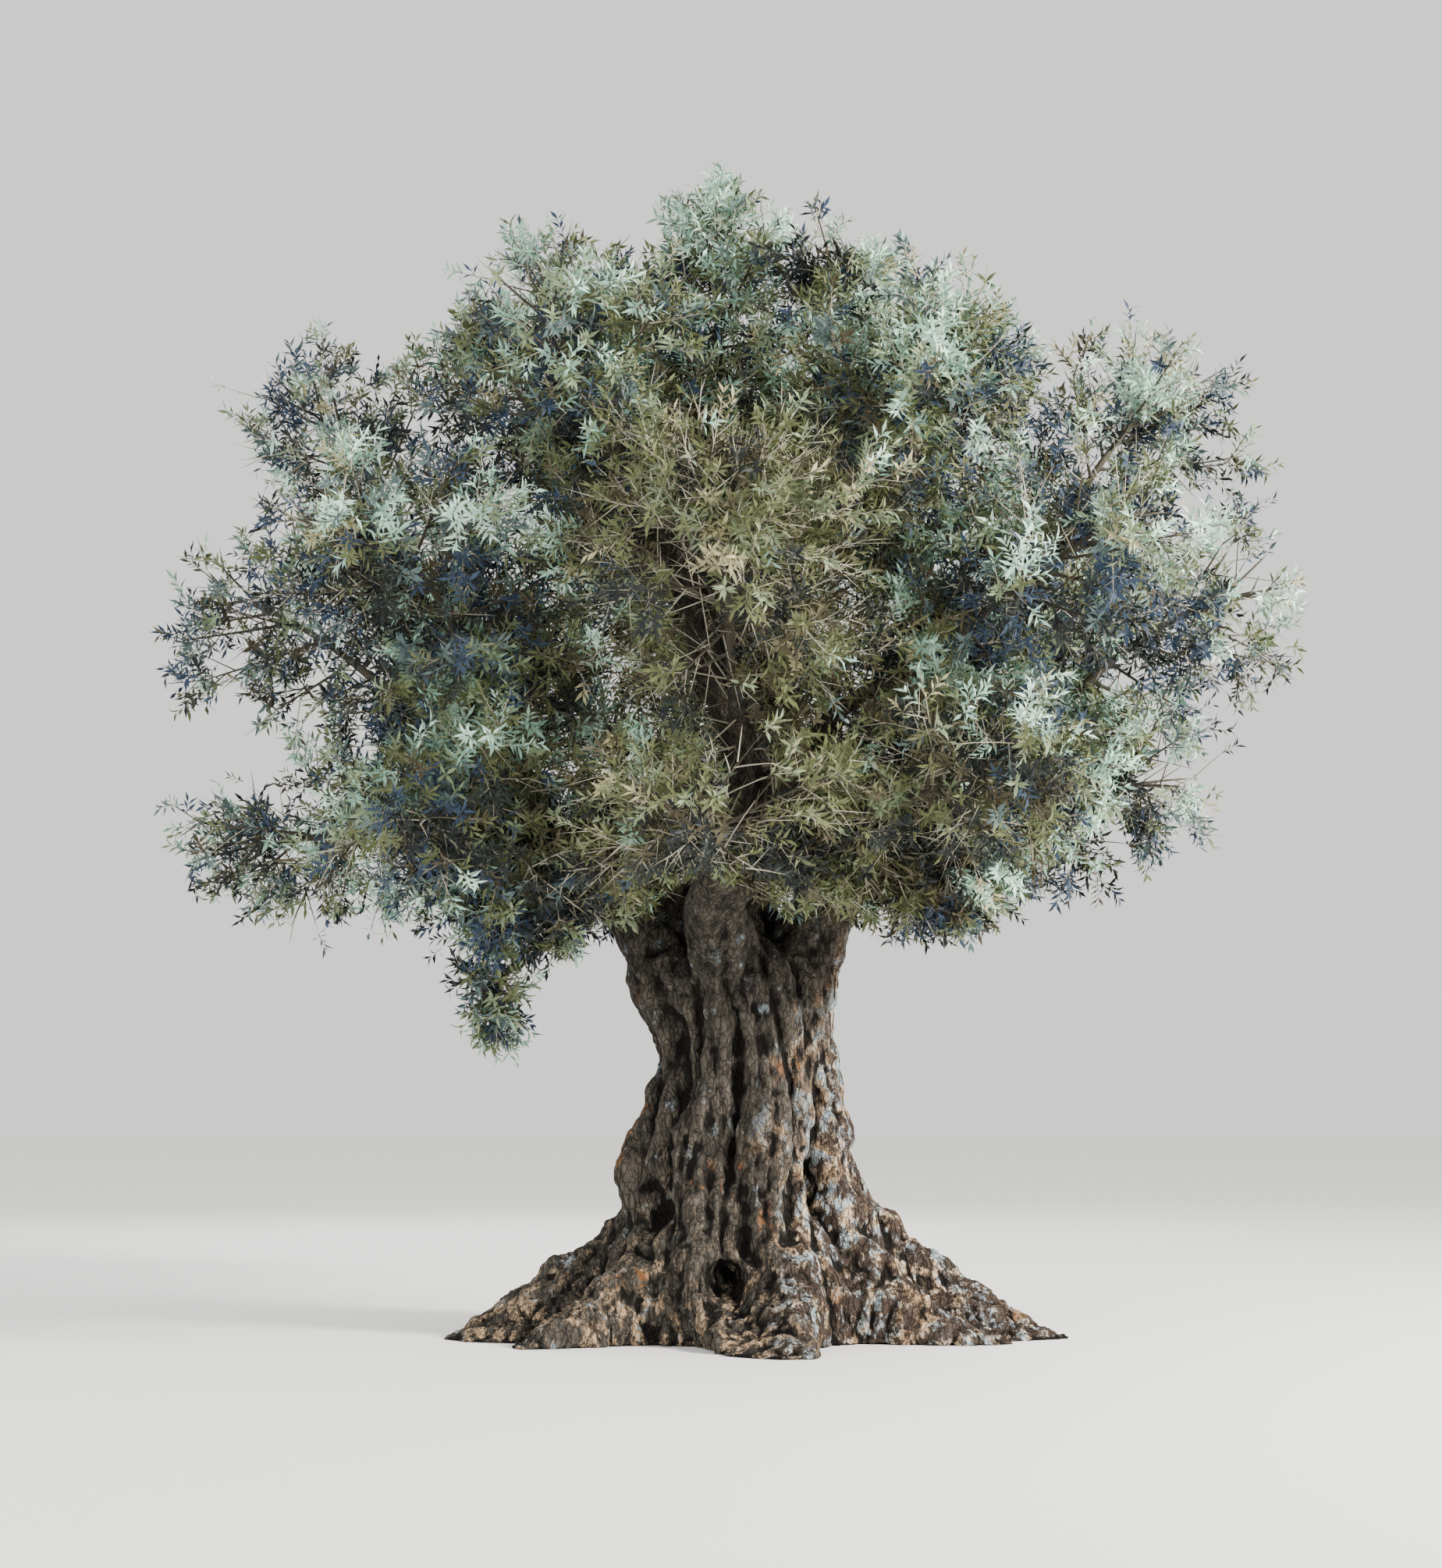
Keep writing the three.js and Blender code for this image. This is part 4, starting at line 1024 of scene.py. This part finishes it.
def bark_material():
    """Old olive bark: dark brown grey, with flakes that are tan on the root feet and palest on the right
    of the trunk, where a highlight is painted, black with painted shade in the furrows and lighter on the
    backs that stand proud."""
    material = plain_material("bark", (0.09, 0.08, 0.065), 0.93, 0.15)
    tree = material.node_tree
    own = add_node(tree, "TexCoord", {})["Object"]

    def calculated(operation, first, second):
        return add_node(tree, "Math", {0: first, 1: second}, operation=operation)["Value"]

    times, plus, minus = (partial(calculated, kind) for kind in ("MULTIPLY", "ADD", "SUBTRACT"))

    def stretched(stretch):
        return add_node(tree, "Mapping", {"Vector": own, "Scale": stretch})["Vector"]

    def noisy(name):
        scale, stretch, detail, roughness = BARK_NOISES[name]
        inputs = {"Vector": stretched(stretch), "Scale": scale, "Detail": detail, "Roughness": roughness}
        return add_node(tree, "TexNoise", inputs)

    def layer(name, value):
        low, high, strength = BARK_LAYERS[name]
        inputs = {"Value": value, "From Min": low, "From Max": high, "To Max": strength}
        return add_node(tree, "MapRange", inputs)["Result"]

    proudness = add_node(tree, "Attribute", {}, attribute_name="proudness")["Fac"]
    place = add_node(tree, "SeparateXYZ", {"Vector": own})
    x, height = place["X"], place["Z"]
    noises = (noisy(name)["Fac"] for name in ("broad", "grain", "patches", "kinds", "rusty"))
    broad, grain, patches, kinds, rusty = noises

    # Small plates with cracks between them: 0 in a crack and 1 on a plate.
    inputs = {0: noisy("bend")["Color"], 1: PLATES["bend"], 2: stretched(PLATES["stretch"])}
    bent = add_node(tree, "VectorMath", inputs, operation="MULTIPLY_ADD")["Vector"]
    inputs = {"Vector": bent, "Scale": PLATES["scale"]}
    edges = add_node(tree, "TexVoronoi", inputs, feature="DISTANCE_TO_EDGE")["Distance"]
    plates = layer("plates", edges)

    # Where the bark is pale: ragged to the right of the trunk, where a highlight is painted, narrower
    # higher up, and on the feet.
    below = layer("below", height)
    lit_right_side = minus(plus(x, broad), layer("narrower", height))
    lit_right_side = times(layer("lit_right_side", lit_right_side), below)
    feet = layer("feet", minus(height, broad))
    flakes = times(layer("flakes", patches), layer("whole", proudness))

    # The flakes to the right lie closer together above the feet, on a redder ground, and the painted
    # highlight of the lit side makes them paler.
    pale = layer("pale_flakes", plus(patches, layer("closer", height)))
    pale = times(times(pale, layer("pale_whole", proudness)), lit_right_side)
    blue = times(times(layer("blue", kinds), flakes), below)
    blue = times(blue, plus(times(feet, BLUE_STRENGTH["feet"]), BLUE_STRENGTH["everywhere"]))

    colour = ramp(tree, BARK_GROUND, grain)
    for factor, over in (
        (times(flakes, layer("lower", plus(height, broad))), BROWN_FLAKE),
        (times(flakes, feet), TAN_FLAKE),
        (layer("backs", proudness), PROUD_BACK),
        # Painted highlight: a redder ground and paler flakes on the lit right side of the trunk.
        (times(lit_right_side, RED_STRENGTH), RED_GROUND),
        (pale, ramp(tree, PALE_FLAKES, kinds)),
        (blue, BLUE_FLAKE),
        (layer("cracks", plates), DARKEST),
        # Painted shade: the furrows and hollows darkened to black.
        (layer("painted_furrow_shade", proudness), DARKEST),
        (times(layer("rust", rusty), times(flakes, below)), RUST),
    ):
        colour = mixed(tree, factor, colour, over)

    relief = plus(plus(times(grain, BARK_BUMP["grain"]), plates), times(flakes, BARK_BUMP["flakes"]))
    inputs = {"Strength": BARK_BUMP["strength"], "Distance": BARK_BUMP["distance"], "Height": relief}
    normal = add_node(tree, "Bump", inputs)["Normal"]
    set_inputs(tree, tree.nodes["Principled BSDF"], {"Base Color": colour, "Normal": normal})
    return material


# Stage: floor, lights and camera


FLOOR = {"half": 60, "colour": (0.96, 0.95, 0.93), "roughness": 0.9}
# The lights on the crown: place, size, power and colour.
LIGHTS = {
    "key": ((14, -7, 9), 3.5, 7400, (1, 0.97, 0.92)),
    "fill": ((-11, -11, 6), 9, 1150, (0.93, 0.96, 1)),
    "back": ((-3, 13, 9), 7, 900, (1, 1, 1)),
}
STUDIO = {"Color": (0.93, 0.92, 0.9), "Strength": 1.25}


def make_floor():
    corners = np.array([[-1, -1, 0], [1, -1, 0], [1, 1, 0], [-1, 1, 0]], float) * FLOOR["half"]
    material = plain_material("floor", FLOOR["colour"], FLOOR["roughness"])
    floor = mesh_object("floor", corners, np.array([[0, 1, 2, 3]]), [material])


def light_stage():
    for name, (place, size, power, colour) in LIGHTS.items():
        light = bpy.data.lights.new(name, "AREA")
        light.shape = "DISK"
        light.size = size
        light.energy = power
        light.color = colour
        lamp = in_scene(name, light)
        lamp.location = place
        lamp.rotation_euler = (Vector(CROWN_HEART) - Vector(place)).to_track_quat("-Z", "Y").to_euler()
    world = bpy.data.worlds.new("studio")
    world.use_nodes = True
    set_inputs(world.node_tree, world.node_tree.nodes["Background"], STUDIO)
    bpy.context.scene.world = world


PHOTO_HEIGHT = 2009  # pixels
METRES_PER_PIXEL = 0.0047  # at the tree's own distance
AIM = Vector((-0.12, 0.0, 3.27))
SENSOR = 36  # millimetres, along the picture's longer side
FAR = 300


def make_camera():
    data = bpy.data.cameras.new("camera")
    camera = in_scene("camera", data)
    camera.location = EYE
    camera.rotation_euler = (AIM - EYE).to_track_quat("-Z", "Y").to_euler()
    data.sensor_width = SENSOR
    data.lens = SENSOR * (AIM - EYE).length / (PHOTO_HEIGHT * METRES_PER_PIXEL)
    data.clip_end = FAR
    bpy.context.scene.camera = camera


make_camera()
light_stage()
make_floor()

bark = make_bark()
bark.data.materials.clear()
bark.data.materials.append(bark_material())
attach(bark, "root")
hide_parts("trunk", *("bough_" + name for name in NAMES))

twig_materials = [
    plain_material("twig_bark", (0.07, 0.062, 0.045), 0.85),
    plain_material("twig_pale", (0.36, 0.33, 0.25), 0.8),
]
leaf_materials = [plain_material("leaf_" + name, colour, 0.6) for name, colour in LEAF_COLOURS.items()]
for ring, names in RINGS.items():
    grown = [grow_mass(NAMES.index(name), BOUGHS[name]) for name in names]
    twigs = joined("twigs_" + ring, [part for parts, _ in grown for part in parts], twig_materials)
    leaves = joined("leaves_" + ring, [part for _, part in grown], leaf_materials)
    for piece, slot in ((twigs, "bark"), (leaves, "foliage")):
        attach(piece, "root")
        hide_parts(*("foliage_" + name for name in names))
